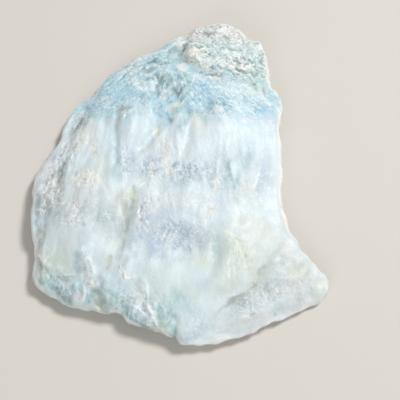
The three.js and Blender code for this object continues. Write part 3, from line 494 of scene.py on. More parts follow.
WHITE = [
    (-8.6, 10.9, 2.2, 4, 0.95, 8), (-6.5, 14.4, 0.6, 2.2, 0.8), (-7, 19.6, 1.3, 1.8, 0.7),
    (10.8, 8.8, 5.4, 3.1, 0.7), (18.2, 8.4, 2.6, 3.6, 0.7), (3.9, 11.6, 1.1, 2.2, 0.6),
    (7.2, -5.3, 8.6, 1.8, 0.3), (-16.9, -15.7, 2.6, 3.6, 0.4, -12), (-9.4, -20.6, 1.7, 1.8, 0.8),
    (1.6, -22.8, 3.9, 2.7, 0.55), (-6.5, -27, 0.6, 2, 0.8), (-20, -17.6, 0.4, 0.6, 1),
    (-20, -25.8, 0.9, 2, 0.8, 10), (-17.8, -21.5, 0.4, 2.7, 0.6, -8), (-3.6, 19.6, 0.6, 1.1, 0.95),
    (-22.1, -12.4, 2.2, 1.1, 0.4), (20.3, -8.8, 1.5, 4.5, 0.5, 12), (9.2, -33.7, 6, 1.8, 0.4, 5),
    (18.1, 29.3, 1.1, 2.2, 0.5, -30), (-25.4, -21.5, 2.2, 0.9, 0.6, -5),
    (-11, -22.6, 1.5, 0.7, 0.7, -10), (11.8, 1.3, 0.9, 1.6, 0.9), (5, 1.7, 0.5, 1.3, 0.8),
    (8.5, 2.2, 0.4, 1.3, 0.6), (21.9, 5.1, 0.5, 8.5, 0.6), (4.6, -28.3, 2.6, 1.3, 0.5, 20),
    (5.7, 5.1, 3, 1.8, 0.5), (12.8, 15.9, 1.1, 1.6, 0.7), (8.6, 14, 1.1, 0.9, 0.7, -30),
    (-17.4, 8.6, 0.6, 4, 0.4, -5), (-25.4, 10.7, 0.6, 3.1, 0.8, -25), (-21.1, 15.4, 1.3, 0.6, 0.7, 30),
    (0.9, 7.5, 1.3, 2.2, 0.4), (18.4, 17.3, 1.7, 0.9, 0.2, -20), (14.6, 14.9, 1.3, 0.7, 0.4),
    (-14.5, -17.6, 1.3, 1.3, 0.4), (-10.7, -18.9, 0.3, 1.3, 0.6, -25), (-21.7, 7.9, 1.9, 2.7, 0.6, -20),
    (-23.6, -12.4, 3.5, 2.2, 0.35), (-8.5, -23.6, 1.7, 3.6, 0.6), (1.1, -31.7, 1.9, 2.2, 0.5),
    (-2.8, -25.3, 1.7, 2.9, 0.5), (6.7, -25.8, 4.8, 1.6, 0.3, 25), (3.9, 10.2, 0.9, 3.6, 0.6),
    (-2, 5.6, 0.9, 2.5, 0.4, -10), (-16.2, 7.5, 0.8, 2.7, 0.4), (-8.8, 21.3, 1.9, 1.1, 0.7, 20),
    (12.7, 27.3, 1.1, 0.9, 0.9), (7.3, 24.9, 1.9, 0.7, 0.5), (-21.6, -27.5, 1.1, 1.3, 0.5),
    (-0.8, -6.2, 3, 1.1, 0.3), (6.1, -1.7, 1.1, 1.1, 0.4), (9.5, 25.9, 1.1, 0.7, 0.5),
    (2.5, -32.1, 2.6, 2, 0.5), (7.7, -31, 2.6, 1.6, 0.4, 10), (-5.8, -31.2, 0.9, 2.5, 0.8, -25),
    (-25, -21.9, 2.2, 1.1, 0.4, -10), (13.9, -25.1, 1.7, 1.1, 0.4, 35), (-20.2, -27.5, 1.1, 1.3, 0.5),
    (9.2, -34.4, 6.5, 1.3, 0.5, 5), (16.8, 19.4, 3.9, 1.6, 0.45, -20), (19.7, 17.5, 1.3, 1.1, 0.5),
    (4.1, 28.3, 0.6, 0.4, 0.8), (3, 27.1, 0.6, 0.4, 0.8), (4.8, 26.4, 0.6, 0.4, 0.7, -40),
    (14, 26.9, 1.3, 0.9, 0.7), (15.4, 24.9, 1.1, 0.6, 0.6), (-23.9, 6.1, 0.8, 4.5, 0.45, -28),
    (-21, 5.1, 1.3, 3.6, 0.35, -15), (-27.9, -1.9, 0.6, 0.7, 0.6), (-26.6, -2.6, 0.6, 0.9, 0.5),
    (-10.7, 25.4, 2.2, 0.9, 0.45, 25), (-13.7, 22.5, 1.7, 0.9, 0.4, 45), (-10.3, 21.1, 1.1, 0.9, 0.6),
    (-3.2, 24, 1.1, 0.7, 0.5), (-6.5, 19.2, 1.7, 1.8, 0.5), (-7.4, 15.6, 0.9, 2.2, 0.5),
    (0.8, 24.7, 1.1, 0.9, 0.5), (8.8, -33.1, 2.6, 1.1, 0.5, 5), (4.6, -30.4, 2.6, 1.3, 0.35),
    (-13.1, 15.9, 0.9, 1.1, 0.5), (-3.9, 25.2, 1.1, 1.1, 0.4), (-11.1, 24, 1.5, 0.7, 0.5, 10),
    (13.1, 25.9, 1.9, 1.3, 0.6), (14, 23, 1.5, 0.9, 0.45), (6.8, 23.7, 1.7, 0.7, 0.5, 5),
    (-16.7, 17, 0.9, 1.1, 0.6), (-17.6, 18.9, 1.3, 0.4, 0.6, 30), (-11.2, -25.1, 1.7, 1.3, 0.5),
    (-8, -28.1, 1.3, 2, 0.7, -35), (-6.7, -30.2, 0.9, 1.1, 0.9), (0, -29.4, 1.7, 2.2, 0.35),
    (7.7, 25.4, 1.5, 0.9, 0.9), (11.3, 27.3, 1.3, 0.9, 0.8), (-8.3, 19.9, 1.5, 1.3, 0.7),
    (-4.8, 25.4, 1.3, 0.9, 0.6), (-23.8, 5.6, 0.8, 2, 0.8, -25), (-19.4, -23.6, 0.6, 1.8, 0.8, 10),
    (-7.8, -27, 1.3, 2.7, 0.8), (9.4, -0.8, 0.9, 1.6, 0.7), (10.8, -33.7, 2.6, 0.9, 0.6, 8),
    (-28.5, -9.7, 1.1, 1.3, 0.6), (-21, -27, 1.3, 1.6, 0.95), (-5.8, -32.1, 0.9, 0.9, 0.8),
    (-23.7, -23.6, 1.3, 0.7, 0.4), (5.9, 23.5, 1.1, 0.7, 0.6), (12.6, 19.2, 4.8, 1.1, 0.6, -18),
    (17, 18.2, 2.8, 1.1, 0.3, -20), (18.4, 16.6, 1.7, 1.1, 0.15), (7.7, 21.6, 2.2, 0.7, 0.5, -12),
    (-27, -4.4, 0.9, 0.9, 0.6), (0.6, 27.3, 0.6, 0.9, 0.45), (-21.7, -6.2, 0.9, 1.1, 0.5),
    (-10.5, -26, 1.7, 1.1, 0.4), (-26.7, -11.5, 1.1, 1.1, 0.55), (-13.5, 14, 0.9, 0.9, 0.45),
    (-10.1, 21.6, 0.9, 1.1, 0.85), (11.1, -2.6, 1.1, 1.1, 0.55), (2.4, 21.6, 1.1, 0.9, 0.5),
    (-23.2, -13.3, 1.3, 1.3, 0.55), (-7.7, -20.2, 1.1, 1.1, 0.5), (4.2, 12.1, 0.9, 1.1, 0.8),
    (-23.7, 1, 0.9, 1.1, 0.5), (-2.5, -28.7, 0.9, 1.1, 0.4), (5.9, -32.7, 1.5, 1.8, 0.7),
    (-16.2, -18.5, 0.9, 1.6, 0.6), (-22.8, -23.6, 0.9, 1.1, 0.5), (-26.2, -21.9, 0.9, 0.9, 0.5),
]
print("pink, cream and white spots:", len(PINK) + len(CREAM) + len(WHITE))

# %% Spread the zones over the stone
ZONES = {"blue": BLUE, "teal": TEAL, "aqua": AQUA, "grey": GREY, "pearl": PEARL, "olive": OLIVE,
         "ash": ASH, "lilac": LILAC, "pink": PINK, "cream": CREAM, "lime": LIME, "white": WHITE}

zones = {name: patches(spots, gentle) for name, spots in ZONES.items()}
crystals = np.clip(zones["grey"] + 0.5 * zones["teal"] - 0.6 * zones["white"], 0, 1)
show("crystals", crystals)

# %% [markdown]
# ## Where the surface is busy
# Most of the slab is smooth and milky. The crust is the roughest, then the blue band and the west
# flank, where broken fibre ends show. One more list of ellipses says how busy each place is, and
# both the relief and the colours are made stronger by it.

# %% How busy each place is
BUSY = [
    (-25.1, 4.7, 1.9, 6.7, 1, -28), (-28.3, -3.9, 2.6, 4.5, 0.95), (1.3, 0.1, 7.3, 2.2, 0.6),
    (-6.3, 0.6, 2.6, 3.1, 0.6), (0.3, -13.7, 5.6, 3.6, 0.5), (-22, -8.8, 3, 3.1, 0.55),
    (-21, -1.2, 2.8, 2.2, 0.6), (-18.8, 5.1, 1.1, 2.7, 0.25), (-2.9, -6.2, 8.6, 2.2, 0.28),
    (12.2, -17.6, 3, 3.1, 0.25), (16.8, -27.2, 6.5, 2.9, 0.5, 25), (25.7, -24.7, 4.3, 3.1, 0.22),
    (-24.9, -24.3, 4.8, 2.7, 0.3, -28), (-12.2, -26.8, 7.3, 3.1, 0.27, -15),
    (-3.8, -30.4, 3.9, 4, 0.28), (-3, 4, 2.2, 5.4, 0.4), (-12.2, 4, 1.1, 3.1, 0.6),
    (-11.5, 0.6, 1.3, 1.6, 0.5), (-8.8, 24.9, 9.5, 3.6, 0.45, 22), (-1.6, 18, 5.6, 4, 0.55),
    (8.4, 14.9, 3, 2.7, 0.6), (13.5, 18.7, 7.3, 3.1, 0.65, -18), (-15.9, 18.7, 4.8, 2.7, 0.75, 25),
    (-22.3, 12.6, 2.2, 2.2, 0.8, -40), (-7.4, -10.2, 1.5, 4, 0.6, -5), (-15.8, -9.9, 2.6, 1.8, 0.35),
    (-11.8, 13.5, 1.7, 1.6, 0.65), (4.2, -32.5, 3, 2.2, 0.25), (-19.1, -21.5, 1.3, 4, 0.35),
    (8.1, -0.8, 1.7, 3.1, 0.5), (7.2, -8.8, 1.1, 1.3, 0.5), (14.6, 14, 3.5, 1.8, 0.35),
    (5.7, -6.2, 3.9, 1.8, 0.25),
]
BUSY_CRUST = 0.6
BUSY_BAND = 0.5
BUSY_ELSEWHERE = 0.05

by_kind = np.maximum(BUSY_CRUST * crust, BUSY_BAND * band)
busy = np.maximum(patches(BUSY, gentle), by_kind) + BUSY_ELSEWHERE
busy *= 0.55 + 0.9 * ripple(at, size=3.2, seed=20)
busy = np.clip(busy, 0, 1)
show("busy", busy)

# %% [markdown]
# ## Fibre relief
# The bundles stand only a tenth of a millimetre proud, and come and go over the slab. Where the
# stone is crystalline, short needles cross one another instead.

# %% Shapes for fibres, folds and needles
NEEDLE_ANGLES = (-32, 24, 70)
FIBRE_SHAPE = (1, 0.14, 0.5)


def bundles(coordinates, width, seed):
    return 2 * ripple(coordinates * FIBRE_SHAPE, width, seed) - 1


def both_ways(width, seed):
    return bundles(hanging, width, seed) * (1 - band) + bundles(spreading, width, seed) * band


def backs(points, size, seed):
    """Rounded backs that meet in sharp valleys: 0 in a valley, 1 on a back."""
    return np.clip(2.2 * np.abs(2 * ripple(points, size, seed) - 1), 0, 1)


def needles(width, seed):
    """Ridges that lie across one another at three angles."""
    tallest = np.zeros(len(at))
    for turn, angle in enumerate(NEEDLE_ANGLES):
        c, s = cos(radians(angle)), sin(radians(angle))
        along = north * c - east * s
        sideways = east * c + north * s
        lying = np.column_stack([sideways, along * 0.25, up])
        tallest = np.maximum(tallest, ripple(lying, width, seed + 0.3 * turn))
    return 2 * tallest - 1.2


# %% Push out the bundles and needles
FIBRE_HEIGHT = 0.06
NEEDLE_HEIGHT = 0.10

patchy = 0.35 + 0.65 * soften(ripple(at, size=8, seed=16), 0.35, 0.65)
fibrous = (1 - crust) * top_facing * free
push("wide fibres", FIBRE_HEIGHT * both_ways(width=2.0, seed=7) * fibrous * patchy)
push("fine fibres", FIBRE_HEIGHT * both_ways(width=0.8, seed=8) * fibrous * patchy)
push("crystal needles", NEEDLE_HEIGHT * needles(width=0.8, seed=11) * fibrous * busy)

# %% [markdown]
# ## Crumpled places
# On the shoulder beside the crust, along the west flank and at the broken south-west corner the
# fibres are crumpled into small backs with sharp valleys between them. Folding smooth noise at
# its middle value gives that shape. Three sizes are added up, and the height is kept as an
# attribute, because the material paints shade into the valleys and a painted highlight on the
# backs. The backs lean further over towards the west.

# %% Push up the crumpled places
CRUMPLED = [
    (-25.5, 2.9, 1.9, 5.8, 0.7, -28), (-27.8, -3.9, 2.2, 4, 0.7), (-7.7, 25.4, 9.5, 3.1, 1, 22),
    (-1.6, 19.2, 3.9, 4, 0.9), (7.9, 14.9, 2.6, 2.2, 0.5), (2.4, 21.6, 4.3, 2.2, 0.6, -15),
    (-25.9, -24.5, 4.3, 1.8, 0.45, -20), (-19, -24.1, 1.3, 3.6, 0.6, 10),
    (-14.7, -28.3, 3.5, 1.8, 0.5, -10), (-8, -29.6, 3.9, 2.7, 0.7, -25), (-11, -21.9, 1.7, 1.1, 0.6),
    (-1.6, -33.3, 2.6, 1.8, 0.5), (-21, -1.2, 2.4, 2, 0.45), (-4.1, 1, 2.6, 2.2, 0.5),
    (5.7, -0.3, 3, 1.8, 0.4), (-12, 14, 1.9, 1.6, 0.7), (-22.3, 12.6, 1.9, 2.2, 0.5, -40),
    (-22.3, -8.8, 2.2, 2.2, 0.45), (-7.4, -10.2, 1.3, 3.1, 0.4),
]
LEAN_EAST = 28
LEAN_WEST = 64
CRINKLE_HEIGHT = 0.60


def drawn_out(points, angle, shorter):
    """Coordinates for shapes that are drawn out along a line at an angle."""
    along = points[:, 0] * np.cos(angle) + points[:, 1] * np.sin(angle)
    athwart = points[:, 1] * np.cos(angle) - points[:, 0] * np.sin(angle)
    return np.column_stack([shorter * along, athwart, up])


lean = np.radians(LEAN_EAST + (LEAN_WEST - LEAN_EAST) * soften(-east, 6, 20))
slanted = drawn_out(at, lean, 0.45)
crinkle = (0.5 * backs(slanted, size=2.6, seed=21) + 0.3 * backs(slanted, size=1.3, seed=22)
           + 0.2 * backs(at, size=0.7, seed=23))
crumpled = patches(CRUMPLED, gentle) * (1 - crust)
push("crinkles", CRINKLE_HEIGHT * (crinkle - 0.5) * crumpled * free)

# %% [markdown]
# ## The crust
# The crust is a crumbly mat of grains up to a millimetre across, with pits where grains fell
# out. It is built the same way, from larger lumps and finer grains that lie in slanting layers.
# It is roughest in a few named places, and its northern brow is worn back a little.

# %% Push out the grains and pits
ROUGH = [
    (4.6, 28.1, 2.4, 2.2, 1), (13.6, 26.4, 3.7, 2.7, 1), (10.4, 24.7, 3.2, 1.1, 0.9),
    (7.7, 23.2, 3.5, 0.9, 0.9, -5), (6, 33.5, 2.2, 0.9, 0.8), (10, 32.5, 2.8, 1.1, 0.5, -20),
    (18.5, 25.9, 1.3, 2.9, 0.6), (18.4, 20.1, 1.3, 1.3, 0.5), (2.3, 30.3, 1.1, 1.6, 0.7),
    (15.8, 22.8, 2.2, 0.9, 0.6),
]
BROW = [(8.2, 34.4, 5, 1.2, 1)]
LAYERS_SLANT = radians(-22)
GRAIN_HEIGHT = 0.55
PIT_DEPTH = 0.2
BROW_WEAR = 0.5

rough = (0.45 + 0.55 * patches(ROUGH, gentle)) * crust
layered = drawn_out(frayed * 0.4 + at * 0.6, LAYERS_SLANT, 0.35)
grainy = (0.4 * backs(layered, size=1.05, seed=9) + 0.35 * backs(layered, size=0.6, seed=10)
          + 0.25 * ripple(at, size=0.6, seed=17))
pits = soften(ripple(at, size=0.9, seed=18), 0.80, 0.90)
push("crust grains", GRAIN_HEIGHT * (grainy - 0.65) * rough * free)
push("crust pits", -PIT_DEPTH * pits * rough * free)
push("crust brink", -BROW_WEAR * patches(BROW, at) * free)

# %% [markdown]
# ## Splits and crests
# The measured model has the larger folds. Here each gets a narrower and sharper bottom than the
# facets could show, worn away in places. The ribs of the broken corner get a crest, and two
# notches at the edge of the crust are filled a little. Each stroke is a row with its half-width,
# its strength or height, and the points of its path.

# %% Splits, crests and notches
SPLITS = [
    (0.8, 0.14, (-9.9, -3.9), (-10.1, -6.6), (-11.1, -8.8), (-11.2, -11.9), (-11.8, -15.4),
     (-12.8, -18.9)),
    (0.6, 0.2, (-29, -11.1), (-29.5, -14.1), (-29.8, -17.6), (-29.8, -22.4)),
    (0.5, 0.14, (-13.6, 15.9), (-13.7, 10.2), (-13.3, 2.4)),
    (0.5, 0.14, (-4, 10.7), (-5.5, 7.9), (-7.2, 4.9)), (0.8, 0.3, (-2.3, 23), (-1.9, 20.6), (-0.7, 18)),
    (0.5, 0.2, (-4.8, 20.6), (-5, 17.7)),
    (0.5, 0.25, (-18.8, -24.5), (-18.5, -26.4), (-17.4, -28.5), (-15.5, -30.2)),
    (0.5, 0.3, (-11.3, -30.6), (-9.6, -31.7), (-5.8, -34)), (0.6, 0.35, (-0.8, -32.9), (-0.8, -37.1)),
    (0.4, 0.25, (5, 23.5), (5.9, 22.5), (9.1, 22.3)), (0.4, 0.3, (6.4, 24), (9.1, 23.7), (11.8, 23.2)),
    (0.4, 0.3, (12.7, 24.7), (14, 23.7), (17.1, 23.7)),
    (0.6, 0.14, (8.4, -30.4), (10.5, -28.5), (12.4, -27.5), (14.5, -25.3), (16.6, -24.5)),
    (0.5, 0.1, (10.5, 2.9), (10.7, 0.1), (12, -3.5)),
    (0.5, 0.1, (-11.9, -22.8), (-11.1, -20.2), (-10.5, -17.6)),
    (0.6, 0.15, (1.4, 31.5), (1, 29.8), (0.1, 27.1)),
    (0.45, 0.1, (-20.2, 14.4), (-21, 11.6), (-22.2, 8.8), (-23.4, 5.8), (-24.4, 3.3), (-25, 0.1),
     (-25.2, -3.9)),
]
CRESTS = [
    (0.6, 0.15, (-20.3, -24.3), (-19.8, -26.2), (-20.6, -28.1)),
    (0.7, 0.2, (-6.5, -25.5), (-6.1, -28.1)), (0.5, 0.2, (-6.5, -28.9), (-5.6, -30.8), (-4.6, -33.1)),
    (0.5, 0.2, (-12.3, -21.1), (-11.2, -22.6), (-9.1, -22.8)),
    (0.4, 0.15, (-28.9, -19.8), (-27.9, -18.5)),
    (0.5, 0.14, (-27.1, -22.1), (-25, -22.4), (-22.5, -21.7)),
    (0.4, 0.16, (-11.3, -27.5), (-9.9, -28.7), (-7.5, -30)), (0.9, 0.25, (-3.4, 20.8), (-3.4, 18.5)),
    (0.7, 0.12, (-20, 16.6), (-22.8, 13.5), (-24.9, 10), (-26.1, 7)),
    (0.6, 0.25, (2.4, 27.1), (3.9, 26.9), (5.5, 25.6)), (0.6, 0.2, (2.1, 28.3), (3.7, 28.8)),
]
NOTCHES = [(1.9, 28.8, 1.6, 2.4, 1, -20), (7.7, 24.6, 1.8, 0.9, 0.9)]
NOTCH_FILLING = 0.4
print("splits and crests:", len(SPLITS), "and", len(CRESTS))


# %% Sharpen the folds and ribs
def distance_to(path, points):
    best = np.full(len(points), np.inf)
    for (ax, ay), (bx, by) in zip(path, path[1:]):
        dx, dy = bx - ax, by - ay
        t = ((points[:, 0] - ax) * dx + (points[:, 1] - ay) * dy) / (dx * dx + dy * dy)
        t = np.clip(t, 0, 1)
        gap = np.hypot(points[:, 0] - ax - t * dx, points[:, 1] - ay - t * dy)
        best = np.minimum(best, gap)
    return best


def along_paths(strokes, points, fade=1.0):
    total = np.zeros(len(points))
    for half_width, strength, *path in strokes:
        near = 1 - soften(distance_to(path, points), 0, fade * half_width)
        total = np.maximum(total, strength * near)
    return total


worn = 0.3 + 0.7 * soften(ripple(at, size=2.5, seed=19), 0.3, 0.6)
push("splits", -along_paths(SPLITS, wavy) * worn * free)
push("notch filling", NOTCH_FILLING * patches(NOTCHES, at) * free)
push("crests", along_paths(CRESTS, wavy) * worn * free)

# %% [markdown]
# ## Weathering
# Last come small lumps over everything, and rougher chips on the broken rim.

# %% Lumps and chips
LUMPS_ON_MILK = 0.05
LUMPS_WHERE_BUSY = 0.28
CHIP_DEPTH = 0.7

rim = soften(up, 0.3, 1.2) * (1 - soften(up, 3.6, 5.2))
lumps = 0.5 * ripple(at, size=1.6, seed=12) + 0.5 * ripple(at, size=0.6, seed=13) - 0.5
push("weathering", (LUMPS_ON_MILK + LUMPS_WHERE_BUSY * busy) * lumps * free)
push("rim chips", CHIP_DEPTH * (ripple(at, size=2.4, seed=14) - 0.5) * rim * free)
bpy.ops.object.shade_smooth()

# %% [markdown]
# ## Dark strokes
# Rust stains the bottoms of a few folds, and shade is dirt and painted shadow in the narrow splits,
# under ridges and along a few edges. They are painted as soft strokes along paths, as a brush would
# lay them.

# %% Rust and shade
RUST = [
    (0.5, 0.2, (-11.1, -8), (-11.3, -11.1), (-11.6, -14.1), (-12.2, -16.7)),
    (0.5, 0.26, (-9.9, -5.3), (-9.8, -6.8)), (0.35, 0.33, (-9.8, -6.4), (-9.8, -7.1)),
    (0.3, 0.45, (-14.1, -18.5), (-15.3, -21.1)), (0.45, 0.52, (-29.2, -11.3), (-29.4, -13.5)),
    (0.5, 0.29, (-26, -1.7), (-25.5, -3.9)), (0.35, 0.52, (-18.8, 4.9), (-18.4, 4.9)),
    (0.3, 0.29, (-18, 7.9), (-18, 7.2)), (0.4, 0.23, (-4.2, 10.2), (-5.7, 7.9), (-7.4, 4.9)),
    (0.3, 0.45, (-1.9, 0.4), (-1.9, -0.8)), (0.7, 0.33, (-17, -27.7), (-16.1, -29.1)),
    (0.4, 0.33, (3, 27.8), (4.4, 28.3), (5.5, 27.1)), (0.4, 0.26, (5.5, 29.8), (5.3, 28.3)),
    (0.3, 0.33, (10.2, 23.7), (11.6, 25.2)), (0.5, 0.26, (8.2, -30.4), (9.6, -29.1)),
    (0.4, 0.2, (11.3, -27.9), (13, -27.2)), (0.3, 0.33, (6.5, -7.7), (7.6, -8.4)),
    (0.3, 0.23, (14.8, -1.7), (15, -3.9)), (0.3, 0.2, (10, 26.4), (10.9, 26.9)),
    (0.35, 0.26, (-30.1, -19.8), (-29.8, -23.2)),
]
SHADE = [
    (0.4, 0.5, (-9.8, -6.2), (-9.8, -6.8)), (0.35, 0.3, (-13.8, 15.9), (-13.9, 10.2), (-13.5, 2.4)),
    (0.6, 0.55, (-5, 23.2), (-4.3, 21.6)), (0.4, 0.5, (-3.7, 22.8), (-3.4, 21.1)),
    (0.4, 0.4, (-5, 20.4), (-5, 18)), (1, 0.4, (-0.8, 29.8), (0.1, 27.3)),
    (0.8, 0.45, (-7.7, 24.7), (-6.2, 24.4)), (0.5, 0.3, (-8.1, 22.3), (-5.9, 21.8)),
    (0.5, 0.5, (1, 26.1), (2.4, 25.9)), (0.22, 0.7, (5.5, 22.5), (7.3, 22.5), (9.3, 22.3)),
    (0.22, 0.7, (6.6, 24), (8.2, 23.7), (9.3, 24)), (0.22, 0.7, (9.7, 23.2), (12, 23.2)),
    (0.4, 0.7, (12.7, 26.4), (13.3, 25.6)), (0.3, 0.6, (14.9, 25.4), (15.6, 26.4)),
    (0.4, 0.6, (14.5, 27.3), (14.9, 26.9)), (0.5, 0.9, (5.7, 33.7), (7.3, 33.5)),
    (0.35, 0.7, (6.2, 33), (6.6, 32.7)), (0.35, 0.7, (8, 33.9), (8.5, 33.5)),
    (0.35, 0.9, (10, 32.7), (10.7, 32.7)), (0.4, 0.45, (-18.8, -24.5), (-18.5, -26.4), (-17.4, -28.5)),
    (0.5, 0.6, (-11.7, -29.8), (-10.4, -31), (-7.9, -32.5), (-5.8, -34)),
    (0.5, 0.6, (-0.8, -33.7), (-1, -36.6)), (0.5, 0.35, (16.9, -21.9), (18.2, -20.2)),
    (0.3, 0.5, (20.7, -30.4), (20.9, -30.6)), (0.4, 0.3, (0.8, 13.5), (1.7, 11.2)),
    (0.5, 0.45, (-2.5, 13.7), (-1.6, 12.3)), (0.35, 0.6, (18.9, 20.1), (19.3, 19.4)),
    (0.7, 0.35, (-12.4, 14.9), (-10.7, 14.9)), (0.6, 0.35, (-8.1, 17.3), (-6.7, 17)),
    (0.4, 0.6, (-22.3, 12.3), (-21.5, 13.5)), (0.4, 0.5, (-23.2, 10.7), (-22.5, 11.9)),
    (0.3, 0.6, (-21.5, 15.2), (-20, 15.9)), (0.9, 0.35, (-25.9, 1.3), (-26.4, -1)),
    (0.35, 0.5, (-1.5, 1.3), (-0.8, 2.2)), (0.6, 0.3, (10.5, 2.4), (10.7, 0.1), (11.7, -3.5)),
    (0.8, 0.2, (-21.9, -18.3), (-21, -21.9)), (0.5, 0.25, (-11.9, -22.4), (-10.9, -18.9)),
    (0.4, 0.5, (-30, -14.1), (-30.1, -17.2)), (0.3, 0.4, (-30.2, -18.5), (-30.1, -21.5)),
    (0.6, 0.35, (18.5, -24.3), (19.3, -25.3)), (0.3, 0.5, (-8.1, -10.4), (-7.6, -10.8)),
    (0.3, 0.5, (-20.4, -11.7), (-19.8, -11.7)), (0.4, 0.3, (6.8, -1.2), (7.2, -2.6)),
    (0.3, 0.3, (-19.1, -19.3), (-17.7, -24.1)), (0.22, 0.5, (15.7, -30.8), (16.1, -30.6)),
    (2, 0.18, (-30, -3.9), (-29.5, -6.2), (-28.1, -8.4)),
    (1.3, 0.3, (-10.7, -7.5), (-11.3, -11.1), (-12, -15.4)),
    (0.35, 0.7, (12.7, 24.4), (14.2, 24), (15.8, 23.5), (17.4, 23.5)),
    (0.3, 0.5, (15.8, 22.3), (16.7, 21.6)), (0.3, 0.5, (17.1, 20.8), (17.5, 19.6)),
    (0.35, 0.4, (18.7, 20.8), (19.3, 19.6)), (0.22, 0.6, (4.4, 23.2), (5, 23)),
    (0.22, 0.6, (8.6, 22.3), (9.5, 22)), (0.4, 0.4, (1.7, 25.9), (2.8, 26.1)),
    (0.3, 0.6, (11.8, 26.9), (12, 26.1)),
    (0.6, 0.5, (-2.6, 23.2), (-2.1, 21.1), (-1.4, 19.2), (-0.5, 18.2)),
    (0.35, 0.35, (10, -28.7), (12.2, -27.7), (14.5, -25.8), (16.4, -24.9)),
    (1, 0.4, (-25.7, 2.4), (-26, -0.8)),
    (0.9, 0.25, (-10.5, -6.8), (-10.7, -8.8), (-11.2, -11.9), (-12, -15.4), (-12.8, -18.5)),
    (0.45, 0.9, (1.4, 31.5), (1.4, 30.5), (1, 29.5)), (0.8, 0.3, (-0.1, 28.3), (0.1, 26.9)),
    (0.3, 0.18, (-20.2, 14), (-21, 11.6), (-22, 9.1), (-23.2, 6.1), (-24.2, 3.5)),
    (0.35, 0.4, (-24.2, 3.8), (-24.8, 1.5), (-25.1, -1.2), (-25.2, -3.9)),
    (0.25, 0.7, (7.5, 33.9), (8.5, 33.7)), (0.3, 0.8, (10.3, 32.7), (10.7, 32.6)),
    (0.4, 0.9, (1, 31.2), (1.4, 30)), (0.2, 0.5, (8.9, 32.2), (9.3, 32)),
    (0.2, 0.5, (5.3, 33), (5.7, 33)), (0.2, 0.5, (7.3, 32.2), (8, 32)),
    (0.25, 0.7, (-8.2, 23.8), (-6.1, 23.8)), (0.35, 0.7, (-1.9, 22), (-1.4, 20.1), (-0.7, 18.7)),
    (0.3, 0.6, (-4.8, 20.6), (-4.7, 18)), (0.35, 0.5, (-5.5, 22.8), (-4.6, 22), (-4.3, 21.1)),
    (0.5, 0.35, (-0.4, 29.8), (0.1, 28.3), (-0.1, 27.1)),
    (0.9, 0.4, (-11.9, -28.9), (-10.5, -30.2), (-8.8, -31.2), (-7.7, -31.9)),
    (0.9, 0.7, (-26.6, -24.9), (-24.8, -26.4), (-23.5, -27.2)),
    (0.8, 0.6, (-30.6, -4.4), (-30.7, -7.5), (-30.6, -10.6), (-30, -12.8)),
    (0.7, 0.5, (-29.9, -19.8), (-29.8, -21.9), (-29.3, -23.6)),
    (0.7, 0.35, (-4.4, -30.2), (-3.7, -32.9)), (0.5, 0.35, (-5.9, -27.9), (-5.2, -29.8)),
    (1.1, 0.35, (-15.1, -28.5), (-13.4, -28.9)), (1, 0.3, (-2.5, 17.3), (-1.6, 18.9), (-0.7, 20.1)),
    (0.22, 0.7, (12.7, 26.9), (13.6, 25.9)), (0.2, 0.5, (15.2, 28.1), (14.5, 29)),
    (0.22, 0.6, (15.6, 26.9), (16.7, 26.4)), (0.2, 0.5, (13.2, 29), (13.8, 29.5)),
    (0.2, 0.5, (7.3, 27.3), (8, 26.6)), (0.18, 0.4, (9.3, 28.8), (10.2, 28.6)),
    (0.18, 0.4, (11.6, 31), (12.3, 30.5)), (0.2, 0.5, (4.4, 32), (5.1, 31.5)),
    (0.25, 0.5, (8.1, 16.3), (9.5, 15.4), (10.6, 14.4)),
    (0.22, 0.5, (8.8, 17.3), (10.4, 16.1), (11.5, 15.2)),
    (0.22, 0.5, (13.5, 18.5), (15.3, 17.7), (16.6, 16.8)), (0.2, 0.45, (14.1, 17.3), (15.7, 16.6)),
    (0.25, 0.4, (17.5, 16.8), (19, 15.6)), (0.2, 0.4, (17.2, 15.4), (18.5, 14.7)),
    (0.8, 0.3, (-5.1, 14.9), (-4.2, 13.3)), (0.5, 0.5, (-19.1, -26.2), (-18.9, -27.9)),
    (0.5, 0.35, (10.5, 29.8), (12, 29)), (0.4, 0.3, (-24.1, 11.4), (-24.7, 9.8)),
    (0.6, 0.25, (-1.7, 27.8), (-0.8, 26.9)), (0.5, 0.3, (-10, -30), (-8.3, -31)),
    (0.5, 0.3, (-25.1, -24.9), (-23.8, -25.8)), (0.5, 0.3, (1.9, 31.5), (2.8, 31)),
    (1, 0.45, (-16.8, -26.6), (-15.5, -27.7)),
    (1, 0.65, (-17.7, -25.8), (-17.2, -26.6), (-16.6, -28.1)),
]
print("rust and shade strokes:", len(RUST) + len(SHADE))
